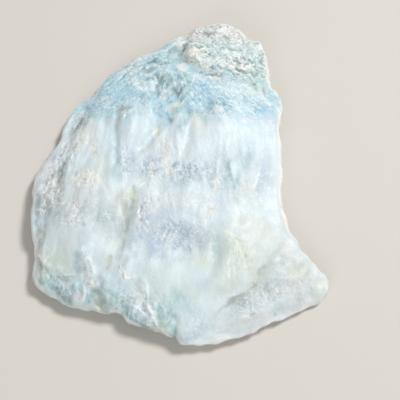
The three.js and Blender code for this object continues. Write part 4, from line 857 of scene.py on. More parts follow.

# %% [markdown]
# ## Light strokes
# Curls are the ivory veins that loop through the knots. Gleams are the bruised white lines on
# broken crests and fibre ends and the milky lines along the bundles, together with painted glints
# and painted highlights.

# %% Curls and gleams
CURLS = [
    (0.2, 0.6, (-21.5, -0.8), (-21.1, 0.4), (-19.8, 0.6), (-19.1, -0.8), (-19.9, -2.1), (-21, -1.9),
     (-21.5, -0.8)),
    (0.2, 0.6, (-23.1, -2.4), (-22.3, -1), (-21.4, -1.7), (-21.8, -3), (-23.1, -2.4)),
    (0.2, 0.6, (-20.5, -3), (-19, -2.6), (-18.4, -0.8), (-18.9, 0.8)),
    (0.2, 0.6, (-17.5, -0.8), (-16.6, -2.6), (-14.8, -6.2)),
    (0.2, 0.6, (-23.6, -1), (-22.3, -2.6), (-20.5, -3.3)),
    (0.45, 0.85, (2.1, 27.1), (3.9, 27.1), (5.3, 25.9)), (0.45, 0.77, (1.9, 28.3), (3.5, 29)),
    (0.45, 0.68, (-0.3, 25.2), (1, 23.7)), (0.3, 0.51, (12.3, -15), (13.1, -16.7), (13.5, -18.7)),
    (0.4, 0.51, (9.9, -13), (11.4, -13.7)), (0.4, 0.68, (-29.1, -19.8), (-27.9, -18.3)),
    (0.3, 0.25, (-17.2, -27.2), (-16.5, -29.1)),
    (0.45, 0.68, (-13.5, 23.7), (-10.5, 26.9), (-6.7, 28.8), (-4, 29.5), (-0.8, 31.2)),
    (0.45, 0.59, (3, 33.7), (8, 34.7), (12.5, 33.5), (15.2, 31)),
    (0.4, 0.68, (15.7, 30.8), (18.4, 29.8), (19.4, 26.9), (19.8, 22.5)),
]
GLEAMS = [
    (0.6, 0.8, (-20, 16.6), (-22.8, 13.5), (-24.9, 10), (-26.1, 7)),
    (0.3, 0.5, (-20, 15.9), (-21.9, 14), (-23.8, 11.2)),
    (0.3, 0.7, (-11.8, 24.9), (-8.9, 25.4), (-7.1, 25.2)),
    (0.3, 0.6, (-11.5, 23.2), (-9.7, 24), (-7.9, 24.2)),
    (0.3, 0.6, (-13, 21.1), (-11.5, 22.5), (-9.3, 23.2)), (0.4, 0.9, (-5.5, 22.5), (-5, 21.1)),
    (0.3, 0.5, (-6.6, 27.3), (-4.4, 28.3), (-2.6, 28.8)), (0.4, 0.7, (-4.4, 26.4), (-3, 26.9)),
    (0.3, 0.7, (0.8, 27.1), (1.7, 29.3)), (0.4, 0.8, (-3, 24.2), (-2.3, 23.7)),
    (0.3, 0.9, (2.4, 18.7), (3, 18)), (0.25, 0.9, (-13.1, 12.6), (-12.4, 14)),
    (0.25, 0.9, (-11.7, 13.3), (-12.2, 11.9)), (0.25, 0.8, (-10.9, 14), (-9.8, 12.8)),
    (0.3, 0.8, (1.5, 23.5), (4.2, 22), (7.3, 21.6)), (0.25, 0.7, (5.7, 20.8), (8.6, 19.2), (11.7, 18)),
    (0.25, 0.7, (6.8, 21.6), (9.5, 19.9), (13.1, 18.9)),
    (0.2, 0.6, (7.3, 18.5), (9.5, 17.3), (11.9, 16.6)),
    (0.25, 0.6, (12.6, 19.6), (15.7, 18.5), (18.8, 17.7)),
    (0.2, 0.6, (13.5, 17.7), (15.7, 16.6), (18.3, 15.9)),
    (0.3, 0.6, (16.8, 18.7), (19.7, 17.7), (22.1, 15.9)),
    (0.3, 0.5, (9.5, 21.6), (12.6, 21.1), (15.7, 20.1)),
    (0.3, 0.7, (7.9, 15.4), (9.2, 14), (10.3, 12.8)), (0.3, 1, (-27.6, 1.9), (-26.6, 2.9)),
    (0.3, 1, (-26.6, 2.2), (-25.7, 2.9)), (0.25, 0.7, (-27.1, 0.4), (-25.7, 2.2)),
    (0.35, 0.7, (-28.6, -0.3), (-28.2, -1.2)), (0.5, 0.8, (-27.9, -1.7), (-27.3, -1.2)),
    (0.4, 0.9, (-27.3, -5.3), (-27, -3.9)), (0.35, 0.7, (-28.7, -4.2), (-28, -5.3)),
    (0.25, 0.8, (-27.3, -5.5), (-27.7, -7.5)), (0.25, 0.7, (-26.5, -5.5), (-27, -8)),
    (0.3, 0.8, (-26.4, -6.6), (-24.9, -6.6)), (0.3, 0.6, (-26.1, 6.1), (-25.6, 5.1)),
    (0.35, 0.7, (-26.9, 4.7), (-26.4, 3.8)), (0.3, 0.7, (-25.1, 2.9), (-23.8, 5.4)),
    (0.35, 0.7, (-30.5, -2.1), (-31.2, -5.1)), (0.4, 1, (-22.9, -8), (-21.4, -8.6)),
    (0.4, 0.9, (-22.9, -9.9), (-22.2, -9.5)), (0.4, 0.9, (-22.2, -11.3), (-21.5, -10.8)),
    (0.35, 0.9, (-25, -9.9), (-24.6, -10.4)), (0.35, 0.8, (-24.1, -11.1), (-23.7, -11.3)),
    (0.4, 1, (-20.1, -17.2), (-20, -18)), (0.25, 0.6, (-19.6, -18.9), (-17.8, -23.2)),
    (0.25, 0.5, (-18.7, -19.8), (-17.4, -21.5)),
    (0.4, 0.8, (-20.3, -24.3), (-19.8, -26.2), (-20.6, -28.1)),
    (0.5, 0.6, (-21.4, -26.4), (-21.6, -28.1)), (0.4, 1, (-12.5, -21.5), (-11.4, -22.8), (-9.3, -22.8)),
    (0.4, 0.5, (-6.5, -25.5), (-6.1, -28.1)), (0.35, 0.9, (-6.5, -28.9), (-5.6, -30.8), (-4.6, -33.1)),
    (0.3, 0.9, (-11.3, -27.5), (-9.9, -28.7), (-7.5, -30)),
    (0.2, 0.8, (-12.8, -27), (-12, -26.4), (-10.9, -27)),
    (0.22, 0.7, (-11.3, -28.3), (-12.4, -28.9), (-13.6, -30)),
    (0.22, 0.7, (-24.9, -23.2), (-24.4, -24.9), (-25.4, -26.2), (-24.8, -27.7)),
    (0.3, 0.8, (17.9, 2.2), (17.2, -0.1), (16.3, -3.3)), (0.25, 0.9, (-0.6, 0.6), (0.7, 1.9)),
    (0.22, 0.5, (1.3, 1), (2.4, 2.9)), (0.3, 0.7, (-6.3, 1.9), (-6, -0.8)),
    (0.35, 0.8, (-12.4, 3.3), (-11.5, 3.3)), (0.25, 0.6, (-12.5, 5.1), (-12.2, 1.9)),
    (0.3, 0.8, (-11.7, 0.4), (-10.6, -0.3)), (0.4, 1, (-8.4, -3), (-7.5, -2.6)),
    (0.3, 0.8, (-11.5, -0.8), (-11.4, -1.9)), (0.3, 0.7, (-2.8, 3.3), (-2.8, -0.8)),
    (0.25, 0.6, (1.1, 7.5), (0.9, 3.8)), (0.25, 0.6, (2, 7.9), (2, 4.7)),
    (0.3, 0.6, (-1.5, 7), (-2, 5.1)), (0.3, 0.6, (2.8, 14), (2.4, 11.9)),
    (0.35, 0.9, (-6.8, -10.6), (-6.3, -11.5)), (0.3, 0.7, (-8.3, -8.4), (-8.3, -9.7)),
    (0.3, 0.7, (-7.4, -12.4), (-6.5, -13)), (0.3, 0.8, (5.9, -7.5), (5.7, -12.4)),
    (0.4, 0.8, (8.1, -1.2), (8.7, -2.1)), (0.3, 0.6, (8.3, 2.4), (8.5, -0.8)),
    (0.25, 0.8, (14.9, -27.5), (14.4, -28.3)), (0.25, 0.5, (16.7, -32.1), (17.5, -31.7)),
    (0.25, 0.6, (14.2, -30.8), (15.5, -31.4)), (0.4, 0.6, (-11.7, -31.2), (-10, -32.7), (-5.8, -34.6)),
    (0.4, 0.5, (-23.5, -28.7), (-19.7, -30), (-15.5, -30.8)),
    (0.4, 0.6, (-30.9, -17.2), (-30.9, -22.6), (-29.5, -24.9)),
    (0.4, 0.7, (22.3, 15.6), (22.2, 8.6), (22.5, 1.7)),
    (0.2, 0.75, (4.6, 24), (6.8, 22.3), (9.5, 21.1), (12.6, 20.6), (15.3, 20.4), (17.5, 19.4)),
    (0.18, 0.7, (3, 23.2), (5.5, 21.6), (7.7, 19.9), (9.9, 18.7), (12.2, 18)),
    (0.2, 0.8, (8.6, 20.1), (11.1, 18.7), (13.7, 17.5), (15.9, 16.1), (17.4, 14.4)),
    (0.18, 0.7, (9.9, 18.7), (11.7, 17), (13, 14.9)),
    (0.18, 0.7, (11.1, 19.6), (14.2, 18.7), (16.6, 17.3), (18.3, 15.6)),
    (0.2, 0.8, (7.7, 15.9), (9, 14.9), (10.1, 13.5)), (0.18, 0.7, (8.4, 16.8), (9.9, 15.4), (11.2, 14)),
    (0.2, 0.7, (13.7, 21.1), (16.6, 20.4), (18.8, 18.7), (20.1, 17.3)),
    (0.18, 0.6, (12.6, 15.9), (14.1, 14.4), (15.2, 12.6)),
    (0.18, 0.6, (15, 14.9), (16.5, 14), (17.6, 12.6)),
    (0.16, 0.5, (3.7, 20.6), (5.3, 18.7), (6.4, 16.8)),
    (0.16, 0.5, (1.5, 18.7), (2.4, 16.8), (2.8, 14.9)),
    (0.16, 0.5, (-0.8, 21.6), (1, 20.6), (2.4, 19.2)),
    (0.2, 0.75, (-17.6, 18.5), (-15.9, 19.6), (-13.7, 20.4), (-11.9, 22)),
    (0.18, 0.6, (-16.4, 20.6), (-14.6, 22), (-13.1, 23.2)),
    (0.25, 0.55, (-11.7, 23.5), (-10, 24), (-8.2, 23.7), (-5.5, 23.7)),
    (0.16, 0.6, (-8.6, 25.4), (-7.3, 25.6), (-6.4, 24.9)),
    (0.16, 0.6, (-4.4, 26.4), (-3.5, 27.3), (-2.4, 26.9)),
    (0.2, 1, (-5.4, 21.6), (-5, 21.1), (-4.6, 21.8)),
    (0.18, 0.8, (-10.7, 17.7), (-9.8, 17.3), (-9.4, 18)),
    (0.12, 0.6, (-5.9, 20.6), (-4.8, 20.4), (-3.6, 20.1)),
    (0.25, 0.6, (-2.3, 22), (-3, 20.6), (-3.6, 19.2), (-4.1, 17.7)),
    (0.3, 0.8, (-0.8, 25.4), (0.3, 24.4), (1.2, 23.7)), (0.2, 0.6, (1, 29.8), (0.8, 28.3), (1, 27.3)),
    (0.2, 0.4, (-9.2, 19.2), (-7.9, 19.6), (-6.1, 19.2)),
    (0.15, 0.8, (-28.1, 1.5), (-27, 2.4), (-25.9, 2.9)),
    (0.15, 0.8, (-28.2, 0.4), (-27.2, 1.3), (-26.3, 2.2)), (0.13, 0.7, (-27.9, 2.2), (-27, 2.9)),
    (0.14, 0.7, (-27.7, -7.5), (-26.9, -5.9), (-26.1, -5.1)), (0.14, 0.6, (-27.2, -8.2), (-26.4, -6.6)),
    (0.18, 0.7, (-26.2, -6.4), (-25.1, -6.6)), (0.3, 0.7, (-23, -7.1), (-21.9, -8), (-22, -9.1)),
    (0.3, 0.7, (-22.9, -9.9), (-22, -10.8), (-21.4, -9.9)), (0.3, 0.6, (-25.2, -10.4), (-24.5, -11.1)),
    (0.25, 0.6, (-24.1, -6.6), (-23.4, -7.7)), (0.25, 0.7, (-30.1, -1.7), (-30.2, -3.3), (-30.6, -5.3)),
    (0.22, 0.6, (-31.5, -3.9), (-31.6, -6.2), (-31.7, -9.5)), (0.14, 0.8, (-28.9, 0.1), (-28.2, 0.8)),
    (0.14, 0.7, (-29.2, -1.2), (-28.6, -0.6)), (0.14, 0.8, (-26.4, 4.7), (-25.8, 5.8)),
    (0.14, 0.8, (-26.8, 3.5), (-26.2, 4.5)), (0.14, 0.7, (-25.6, 5.6), (-25, 6.5)),
    (0.2, 0.7, (-26.1, 6.8), (-25.7, 7.7)), (0.16, 0.7, (-29.4, -3), (-28.8, -2.6)),
    (0.2, 0.8, (-28.9, -4.4), (-28.3, -3.9)), (0.25, 0.9, (-27.4, -4.6), (-27, -3.9)),
    (0.25, 0.9, (-27.9, -1.9), (-27.5, -1.2)), (0.14, 0.5, (-30.7, -7.3), (-30.9, -8.8)),
    (0.14, 0.5, (-29.7, -6.2), (-30.1, -7.5)), (0.2, 0.6, (-24.5, -0.8), (-23.6, -0.1)),
    (0.2, 0.6, (-24.5, 0.6), (-23.9, 1.3)), (0.2, 0.6, (-20.8, -6.8), (-20, -6.2)),
    (0.2, 0.7, (-24.2, -9.1), (-23.3, -8.6)), (0.2, 0.6, (-26, -7.5), (-25.3, -8.2)),
    (0.2, 0.6, (-20.5, -8.8), (-19.7, -8.2)), (0.2, 0.5, (-19.4, -10.4), (-18.8, -9.7)),
    (0.2, 0.6, (-26.5, -9.9), (-25.9, -9.3)), (0.2, 0.5, (-17.6, -6.8), (-17, -5.9)),
    (0.14, 0.3, (-17.9, -24.3), (-17, -26.2), (-16.2, -27.9), (-14.7, -28.9)),
    (0.16, 0.8, (-13.8, -29.1), (-12.6, -28.3), (-11.3, -27.9), (-9.9, -28.5), (-8.6, -28.9)),
    (0.14, 0.6, (-10.1, -28.5), (-9.9, -27.2), (-8.6, -27.7)),
    (0.4, 0.5, (-8.6, -27.9), (-7.3, -29.1), (-6.3, -31.2), (-5.2, -32.9)),
    (0.4, 0.5, (-7.4, -26.2), (-6.5, -27.9), (-6.1, -29.6)),
    (0.14, 0.5, (-16.3, -30), (-14.6, -30.2), (-12.5, -30.6)), (0.12, 0.6, (-4.6, -29.6), (-4, -30.4)),
    (0.18, 0.6, (-11.3, -31.7), (-9.1, -32.9), (-6.6, -34.2), (-4.1, -35)),
    (0.22, 0.55, (-19.8, -18.9), (-19.1, -21.1), (-18.2, -23.6), (-18.9, -25.8), (-20.6, -27.9)),
    (0.2, 0.6, (-29, -18), (-28, -19.8), (-26.1, -21.5), (-23.7, -21.9)),
    (0.14, 0.5, (-24.9, -24.1), (-23.6, -24.7), (-22.8, -24.3)),
    (0.22, 0.7, (-12.3, -20), (-11.9, -21.5), (-11, -22.6), (-9.6, -22.1)),
    (0.22, 0.8, (-18.1, 18.2), (-20, 16.6), (-22.6, 14.8), (-23.8, 13), (-24.6, 10.9), (-25.5, 8.6),
     (-26.1, 7.2)),
    (0.2, 0.6, (-25.6, -23), (-25.3, -25.3), (-23.7, -27.5)),
    (0.2, 0.6, (-13.4, -28.1), (-12.2, -27.2), (-10.7, -27.9), (-9.2, -29.1), (-9.6, -30.2)),
    (0.2, 0.5, (-17.7, -26.6), (-16.6, -28.7), (-17.2, -29.6)),
    (0.18, 0.4, (-15.6, -26), (-13.9, -27), (-12.8, -28.5)),
    (0.2, 0.5, (-28.7, -18.9), (-29, -21.1), (-27.9, -22.4)),
    (0.18, 0.4, (-22.9, -19.8), (-22, -21.3), (-22.6, -22.8)),
    (0.18, 0.4, (-3.8, -27.9), (-2.5, -30), (-2.9, -32.1)),
    (0.2, 0.5, (-26.7, -21.1), (-25, -22.1), (-22.8, -22.6)),
    (0.8, 0.85, (-22.6, 8.8), (-23.5, 6.8), (-23.8, 4.7)), (1.1, 0.9, (-6.5, -30.6), (-5.6, -32.3)),
    (0.4, 0.5, (0.1, 27.8), (1, 26.9)), (0.5, 0.6, (-5.5, 25.4), (-4.1, 25.6)),
    (0.9, 0.8, (-9, 20.1), (-7.6, 19.2)), (0.9, 0.4, (8.3, -33.7), (11.7, -33.7)),
    (0.3, 0.8, (1.9, 27.1), (2.8, 26.1)), (0.3, 0.8, (3.7, 26.6), (5, 26.1)),
    (0.3, 0.7, (2.1, 28.3), (3, 28.8)), (0.4, 0.9, (11.8, 28.3), (12.9, 27.6)),
    (0.4, 0.9, (10.9, 26.4), (12, 27.1)), (0.35, 0.9, (13.3, 25.4), (14.5, 24.9)),
    (0.3, 0.9, (14.2, 24.4), (15.4, 24.4)), (0.3, 0.7, (15.1, 25.9), (16.1, 26.4)),
    (0.35, 0.9, (8.4, 24.4), (9.5, 24.9)), (0.35, 0.9, (10, 25.2), (11.1, 25.9)),
    (0.3, 0.8, (11.1, 24.4), (12, 24.9)), (0.3, 0.6, (14.3, 29.3), (15.2, 29.8)),
    (0.3, 0.6, (17.9, 29.8), (18.6, 28.8)), (0.3, 0.6, (17.4, 27.8), (18.1, 27.1)),
    (0.3, 0.8, (5.9, 24.2), (6.8, 24.7)), (0.35, 0.7, (7.1, 25.9), (8.2, 25.4)),
    (0.25, 0.6, (4.8, 24.9), (5.7, 25.2)), (0.25, 0.6, (16.3, 25.4), (17.4, 25.9)),
    (0.35, 0.8, (0.8, 32), (1.9, 32.5)), (0.35, 0.8, (2.8, 33), (4.1, 33.5)),
    (0.25, 0.7, (5.3, 34.3), (6.4, 34.4)), (0.4, 0.9, (8.7, 34.4), (10.5, 34.6)),
    (0.4, 0.8, (10.9, 33.9), (12.3, 33.2)), (0.4, 0.7, (12.7, 32.7), (13.9, 31.7)),
    (0.3, 0.6, (7.5, 32.7), (8.4, 33)), (0.3, 0.6, (6.6, 32), (7.8, 31.5)),
    (0.3, 0.5, (4.6, 32.5), (5.3, 32)), (0.3, 0.6, (9.6, 33.5), (10.5, 33.2)),
    (0.3, 0.5, (3, 32), (3.9, 31.5)), (0.3, 0.6, (0.6, 24.9), (1.5, 24.2)),
    (0.3, 0.6, (-0.3, 25.9), (0.6, 25.2)), (0.9, 0.85, (-19.9, -22.8), (-19, -24.5)),
    (0.9, 0.9, (-21.2, -26.2), (-20.8, -27.9)), (1.7, 0.75, (-9.1, -26.4), (-7.3, -28.5)),
    (0.8, 0.4, (-25.3, -23.4), (-23.6, -23.8)), (1.1, 0.6, (-23.9, 7.5), (-24.1, 5.4)),
    (0.8, 0.5, (-11.1, 24.9), (-9.3, 25.9)), (0.8, 0.5, (-5.4, 20.1), (-4.1, 19.2)),
    (0.8, 0.5, (-18.1, 17.7), (-16.3, 18)), (0.9, 0.5, (3.9, 13), (4.4, 11.2)),
    (0.9, 0.6, (-8, -24.9), (-7.2, -26)), (0.7, 0.5, (-22.7, 9.8), (-21.8, 10.7)),
    (0.6, 0.5, (0.1, 27.1), (1, 27.8)), (0.8, 0.5, (-27.4, -3.9), (-26.5, -4.8)),
    (0.8, 0.5, (-9, 21.6), (-7.7, 21.6)), (0.8, 0.5, (-20.7, 9.5), (-20.2, 7.2)),
]
print("curls and gleams:", len(CURLS) + len(GLEAMS))

# %% [markdown]
# ## The bruised and lit brink
# The upper corner of the rim is knocked chalky white in places, and carries a painted highlight
# where the edge catches the light. It is found from the mesh: near a steep wall, neither level nor
# upright, and not too low. It is fainter in the south.

# %% Find the brink
STEEP = 0.2
WALL_FOOT = 1.5

normals = np.empty(len(mesh.vertices) * 3)
mesh.vertices.foreach_get("normal", normals)
upward = normals.reshape(-1, 3)[:, 2]
walls = at[(np.abs(upward) < STEEP) & (up > WALL_FOOT)]
finder = kdtree.KDTree(len(walls))
for i, (x, y) in enumerate(walls[:, :2]):
    finder.insert((x, y, 0), i)
finder.balance()
from_wall = np.array([finder.find((x, y, 0))[2] for x, y in at[:, :2]])
# the brink mask: chalky wear and a painted rim highlight
brink = (1 - soften(upward, 0.65, 0.9)) * soften(upward, 0.15, 0.4)
brink *= soften(up, 1.0, 2.0) * (1 - soften(from_wall, 0.4, 1.1))
fainter_south = 0.55 + 0.45 * soften(north, -18, -8)
brink_breakup = 0.5 + 0.5 * soften(ripple(at, size=1.8, seed=24), 0.3, 0.5)
brink *= fainter_south * brink_breakup
show("brink", brink)

# %% [markdown]
# ## Weights for the material
# A material can't call these functions, so each weight is stored on the corners of the mesh as
# an attribute with a name. The dark strokes fade out further from their paths than the gleams.

# %% Store the weights as attributes
STAIN_FADE = 1.6
CURL_FADE = 1.4
PIT_DARKNESS = 0.3

weights = {
    "rust": along_paths(RUST, wavy, STAIN_FADE), "shade": along_paths(SHADE, wavy, STAIN_FADE),
    "curls": along_paths(CURLS, wavy, CURL_FADE), "bruised_and_glinting": along_paths(GLEAMS, wavy),
    "brink": brink, "crystals": crystals, "busy": busy, "crust": crust, "rough": rough,
    "grainy": np.clip(grainy - PIT_DARKNESS * pits, 0, 1), "crinkle": crinkle,
    "crumpled": crumpled, "band": band,
}


def keep(name, values, kind="FLOAT"):
    layer = mesh.attributes.new(name, kind, "POINT")
    layer.data.foreach_set("value" if kind == "FLOAT" else "vector", values.ravel())


for name, values in {**zones, **weights}.items():
    keep(name, values)
keep("hanging", hanging, "FLOAT_VECTOR")
keep("spreading", spreading, "FLOAT_VECTOR")
print("attributes:", [layer.name for layer in mesh.attributes])

# %% [markdown]
# ## Helpers for the material
# A material is a graph of nodes. These helpers add one node each and return its output, so the
# graph can be read like a recipe.

# %% A new material, and helpers for its values
material = bpy.data.materials.new("larimar")
material.use_nodes = True
tree = material.node_tree
shader = tree.nodes["Principled BSDF"]


def node(kind, **settings):
    made = tree.nodes.new(kind)
    for name, value in settings.items():
        setattr(made, name, value)
    return made


def feed(socket, value):
    """Sets a socket to a number or colour, or links it to another node's output."""
    if isinstance(value, bpy.types.NodeSocket):
        tree.links.new(value, socket)
    else:
        socket.default_value = value


def zone(name):
    return node("ShaderNodeAttribute", attribute_name=name).outputs["Fac"]


def direction(name):
    return node("ShaderNodeAttribute", attribute_name=name).outputs["Vector"]


print("material:", material.name)


# %% Helpers for sums and ramps
def calc(operation, a, b=0.0):
    made = node("ShaderNodeMath", operation=operation)
    feed(made.inputs[0], a)
    feed(made.inputs[1], b)
    return made.outputs[0]


def times(a, b):
    return calc("MULTIPLY", a, b)


def ramp(value, low, high, to_low=0.0, to_high=1.0):
    made = node("ShaderNodeMapRange", interpolation_type="SMOOTHSTEP")
    for name, given in zip(("Value", "From Min", "From Max", "To Min", "To Max"),
                           (value, low, high, to_low, to_high)):
        feed(made.inputs[name], given)
    return made.outputs["Result"]


# %% Helpers for mixing, whose sockets are told apart by number
NUMBERS = (2, 3)
COLOURS = (6, 7)
MIXED_COLOUR = 2


def colour(red, green, blue):
    """A colour given as on a paint chart, from 0 to 255, turned into linear light."""
    return (*[(c / 255) ** 2.2 for c in (red, green, blue)], 1)


def blend(amount, a, b):
    made = node("ShaderNodeMix", data_type="FLOAT")
    feed(made.inputs["Factor"], amount)
    for socket, value in zip(NUMBERS, (a, b)):
        feed(made.inputs[socket], value)
    return made.outputs[0]


def mix(amount, under, over, way="MIX"):
    made = node("ShaderNodeMix", data_type="RGBA", blend_type=way)
    feed(made.inputs["Factor"], amount)
    for socket, value in zip(COLOURS, (under, over)):
        feed(made.inputs[socket], value)
    return made.outputs[MIXED_COLOUR]


# %% Helpers for noise
def stretch(vector, scale):
    made = node("ShaderNodeMapping")
    feed(made.inputs["Vector"], vector)
    feed(made.inputs["Scale"], scale)
    return made.outputs["Vector"]


def turned(vector, angle, width, length):
    """Coordinates for noise that is drawn out along a line at an angle."""
    made = node("ShaderNodeMapping", vector_type="TEXTURE")
    feed(made.inputs["Vector"], vector)
    feed(made.inputs["Rotation"], (0, 0, radians(angle)))
    feed(made.inputs["Scale"], (width, length, width))
    return made.outputs["Vector"]


def cloud(vector, scale, detail=3.0, roughness=0.55, distortion=0.0):
    made = node("ShaderNodeTexNoise")
    feed(made.inputs["Vector"], vector)
    feed(made.inputs["Scale"], scale)
    feed(made.inputs["Detail"], detail)
    feed(made.inputs["Roughness"], roughness)
    feed(made.inputs["Distortion"], distortion)
    return made.outputs["Fac"]


# %% [markdown]
# ## The pattern of the stone
# A few patterns do most of the work. Streaks are noise stretched along the fibres. Haze is broad,
# unstretched noise, because the milkiness of the stone comes and goes, and mottle is its smaller
# neighbour. Needles are short streaks at three angles. Sparkle and flecks are fine, contrasty
# noise: these belong to the crystalline places, where broken fibre ends catch the light.

# %% Streaks along the fibres
place = node("ShaderNodeTexCoord").outputs["Object"]
in_mm = stretch(place, (1 / MM, 1 / MM, 1 / MM))
hanging_by = direction("hanging")
spreading_by = direction("spreading")


def streaks(pitch, stretch_by=0.16):
    scale = (1 / pitch, stretch_by / pitch, 0.6 / pitch)
    down = cloud(stretch(hanging_by, scale), 1.0, detail=2.0)
    out = cloud(stretch(spreading_by, scale), 1.0, detail=2.0)
    return blend(zone("band"), down, out)


wide_streaks = streaks(pitch=2.4)
fine_streaks = streaks(pitch=0.8)
hairs = streaks(pitch=0.42, stretch_by=0.22)
print("nodes so far:", len(tree.nodes))

# %% Haze, mottle, sparkle, flecks and needles
SPARKLE_SHARE = 0.35
NEEDLE_OFFSET = 0.08

haze = cloud(in_mm, 0.13, detail=4.0, roughness=0.6, distortion=0.6)
mottle = cloud(in_mm, 0.55, detail=5.0, roughness=0.65)
sparkle = cloud(in_mm, 2.0, detail=3.0, roughness=0.7)
flecks = cloud(in_mm, 1.5, detail=2.0, roughness=0.6)
lying = [cloud(turned(in_mm, angle, width=0.42, length=1.2), 1.0, detail=1.0)
         for angle in NEEDLE_ANGLES]
crossing = calc("MAXIMUM", calc("MAXIMUM", lying[0], lying[1]), lying[2])
crossing = calc("SUBTRACT", crossing, NEEDLE_OFFSET)
strokes = blend(ramp(zone("crystals"), 0.2, 0.7), hairs, crossing)
strokes = blend(SPARKLE_SHARE, strokes, sparkle)
strokes = blend(zone("crust"), strokes, sparkle)
print("nodes so far:", len(tree.nodes))

# %% [markdown]
# ## The palette
# Each tint is a plain named colour, as on a paint chart. The clear stone is a little darker than
# the milk, and no tint is strong: the slab looks blue only because its white is so clean.

# %% Mix the palette
MILK = colour(225, 236, 240)
MIST = colour(204, 217, 222)
AZURE = colour(177, 217, 231)
SKY = colour(158, 203, 226)
LAGOON = colour(151, 190, 193)
SHALLOWS = colour(178, 212, 215)
SLATE = colour(168, 187, 198)
PEARLY = colour(207, 210, 206)
ASHEN = colour(178, 184, 184)
HEATHER = colour(176, 194, 216)
MOSS = colour(196, 206, 190)
BLUSH = colour(224, 219, 217)
CREAMY = colour(243, 238, 225)
IVORY = colour(250, 247, 232)
LIMY = colour(218, 227, 206)
SNOW = colour(231, 247, 251)
GLINT = colour(252, 253, 252)
# chalky wear and a painted rim highlight for the brink
CHALK_AND_RIM_LIGHT = colour(250, 247, 241)
RUSTY = colour(178, 166, 130)
# dark paint for dirt and painted shadow
DARK = colour(110, 132, 134)
# painted shadow for the dark strokes where the stone is busy
SHADOW_STROKE_TINT = colour(160, 178, 184)
# painted shade for the valleys of the crumpled places
VALLEY_SHADE = colour(166, 186, 188)
PALE_CRUST = colour(192, 214, 212)
# painted light on the tops of the grains, and white crumbs
GRAIN_TOP = colour(252, 252, 250)
# dirt and painted shade for the gaps between the grains
CRUST_DIRT_AND_SHADE = colour(150, 172, 168)
print("milk in linear light:", [round(part, 2) for part in MILK])

# %% [markdown]
# ## Zones of colour, one over another
# The ground colour is a milky white that turns slightly blue between the bundles. The zones are
# laid over it one after another, each broken up by streaks or mottling so that no edge is clean.

# %% Lay the zones over the ground
def worn_zone(name, pattern, strength=1.0, least=0.45):
    broken = times(zone(name), ramp(pattern, 0.32, 0.66, least, 1.15))
    return calc("MINIMUM", times(broken, strength), 1.0)


LAYERS = [
    ("aqua", haze, 1.0, SHALLOWS), ("lime", haze, 1.0, LIMY), ("pearl", haze, 1.0, PEARLY),
    ("grey", mottle, 1.0, SLATE), ("ash", mottle, 1.0, ASHEN), ("lilac", mottle, 1.0, HEATHER),
    ("teal", mottle, 1.0, LAGOON), ("blue", mottle, 1.1, SKY), ("olive", mottle, 1.0, MOSS),
    ("white", fine_streaks, 0.8, SNOW), ("pink", mottle, 1.0, BLUSH),
    ("cream", mottle, 1.0, CREAMY),
]

milkiness = calc("ADD", times(wide_streaks, 0.6), times(haze, 0.4))
tinted = mix(ramp(milkiness, 0.38, 0.60), MIST, MILK)
tinted = mix(worn_zone("band", haze, 0.95, least=0.8), tinted, AZURE)
for name, pattern, strength, tint in LAYERS:
    tinted = mix(worn_zone(name, pattern, strength), tinted, tint)
print("zones laid:", 1 + len(LAYERS))


# %% Painted shadow and painted glints in strokes where the stone is busy
def where_busy(pattern, low, high):
    return times(ramp(pattern, low, high), zone("busy"))


streaked = mix(ramp(fine_streaks, 0.40, 0.62, 0.0, 0.22), tinted, MIST)
shadowed = mix(1.0, streaked, SHADOW_STROKE_TINT, "MULTIPLY")
# the dark strokes and flecks are painted shadow, the light ones painted glints
stroked = mix(where_busy(strokes, 0.50, 0.30), streaked, shadowed)
stroked = mix(where_busy(strokes, 0.50, 0.66), stroked, GLINT)
stroked = mix(times(where_busy(flecks, 0.60, 0.66), 0.8), stroked, GLINT)
stroked = mix(times(where_busy(flecks, 0.38, 0.33), 0.6), stroked, shadowed)
print("nodes so far:", len(tree.nodes))

# %% Painted shade in the valleys, painted highlights on the backs, and the painted strokes
# the crumpled valleys get painted shade and their backs a painted highlight
valleys = times(ramp(zone("crinkle"), 0.42, 0.18), zone("crumpled"))
shaded_valleys = mix(1.0, stroked, VALLEY_SHADE, "MULTIPLY")
stroked = mix(times(valleys, 0.8), stroked, shaded_valleys)
crinkle_backs = times(ramp(zone("crinkle"), 0.58, 0.85), zone("crumpled"))
stroked = mix(times(crinkle_backs, 0.45), stroked, GLINT)
# gleams: bruised white lines with painted glints and highlights
bruises_and_glints = times(zone("bruised_and_glinting"), ramp(sparkle, 0.40, 0.56, 0.15, 1.0))
stroked = mix(bruises_and_glints, stroked, GLINT)
# the brink: chalky wear with a painted rim highlight
stroked = mix(worn_zone("brink", mottle, 1.0, least=0.7), stroked, CHALK_AND_RIM_LIGHT)
stained = mix(worn_zone("rust", mottle), stroked, RUSTY)
stained = mix(worn_zone("curls", mottle, 1.0, least=0.6), stained, IVORY)
# dirt and painted shadow along the shade strokes
stained = mix(worn_zone("shade", mottle), stained, DARK)
print("nodes so far:", len(tree.nodes))

# %% [markdown]
# ## The crust's colours
# The tops of the grains are cream or pinkish with painted light, their sides pale green, and the
# gaps between them dark with dirt and painted shade, so the colour follows the height of the
# grains. Where the crust is smoother, fine specks of dirt and white crumbs take their place.

# %% Colour the grains
dashes = cloud(turned(in_mm, 68, width=0.24, length=0.6), 1.0, detail=2.0)
grain_height = calc("ADD", times(zone("grainy"), 0.5), times(dashes, 0.5))
crusty = mix(0.45, stained, PALE_CRUST)
dirt_and_shade = mix(1.0, crusty, CRUST_DIRT_AND_SHADE, "MULTIPLY")
# painted light on the tops of the grains, dirt and painted shade in the gaps
tops = times(ramp(grain_height, 0.56, 0.68, 0.0, 0.95), zone("rough"))
crusty = mix(tops, crusty, GRAIN_TOP)
gaps = times(ramp(grain_height, 0.50, 0.36), zone("rough"))
crusty = mix(gaps, crusty, dirt_and_shade)
print("nodes so far:", len(tree.nodes))

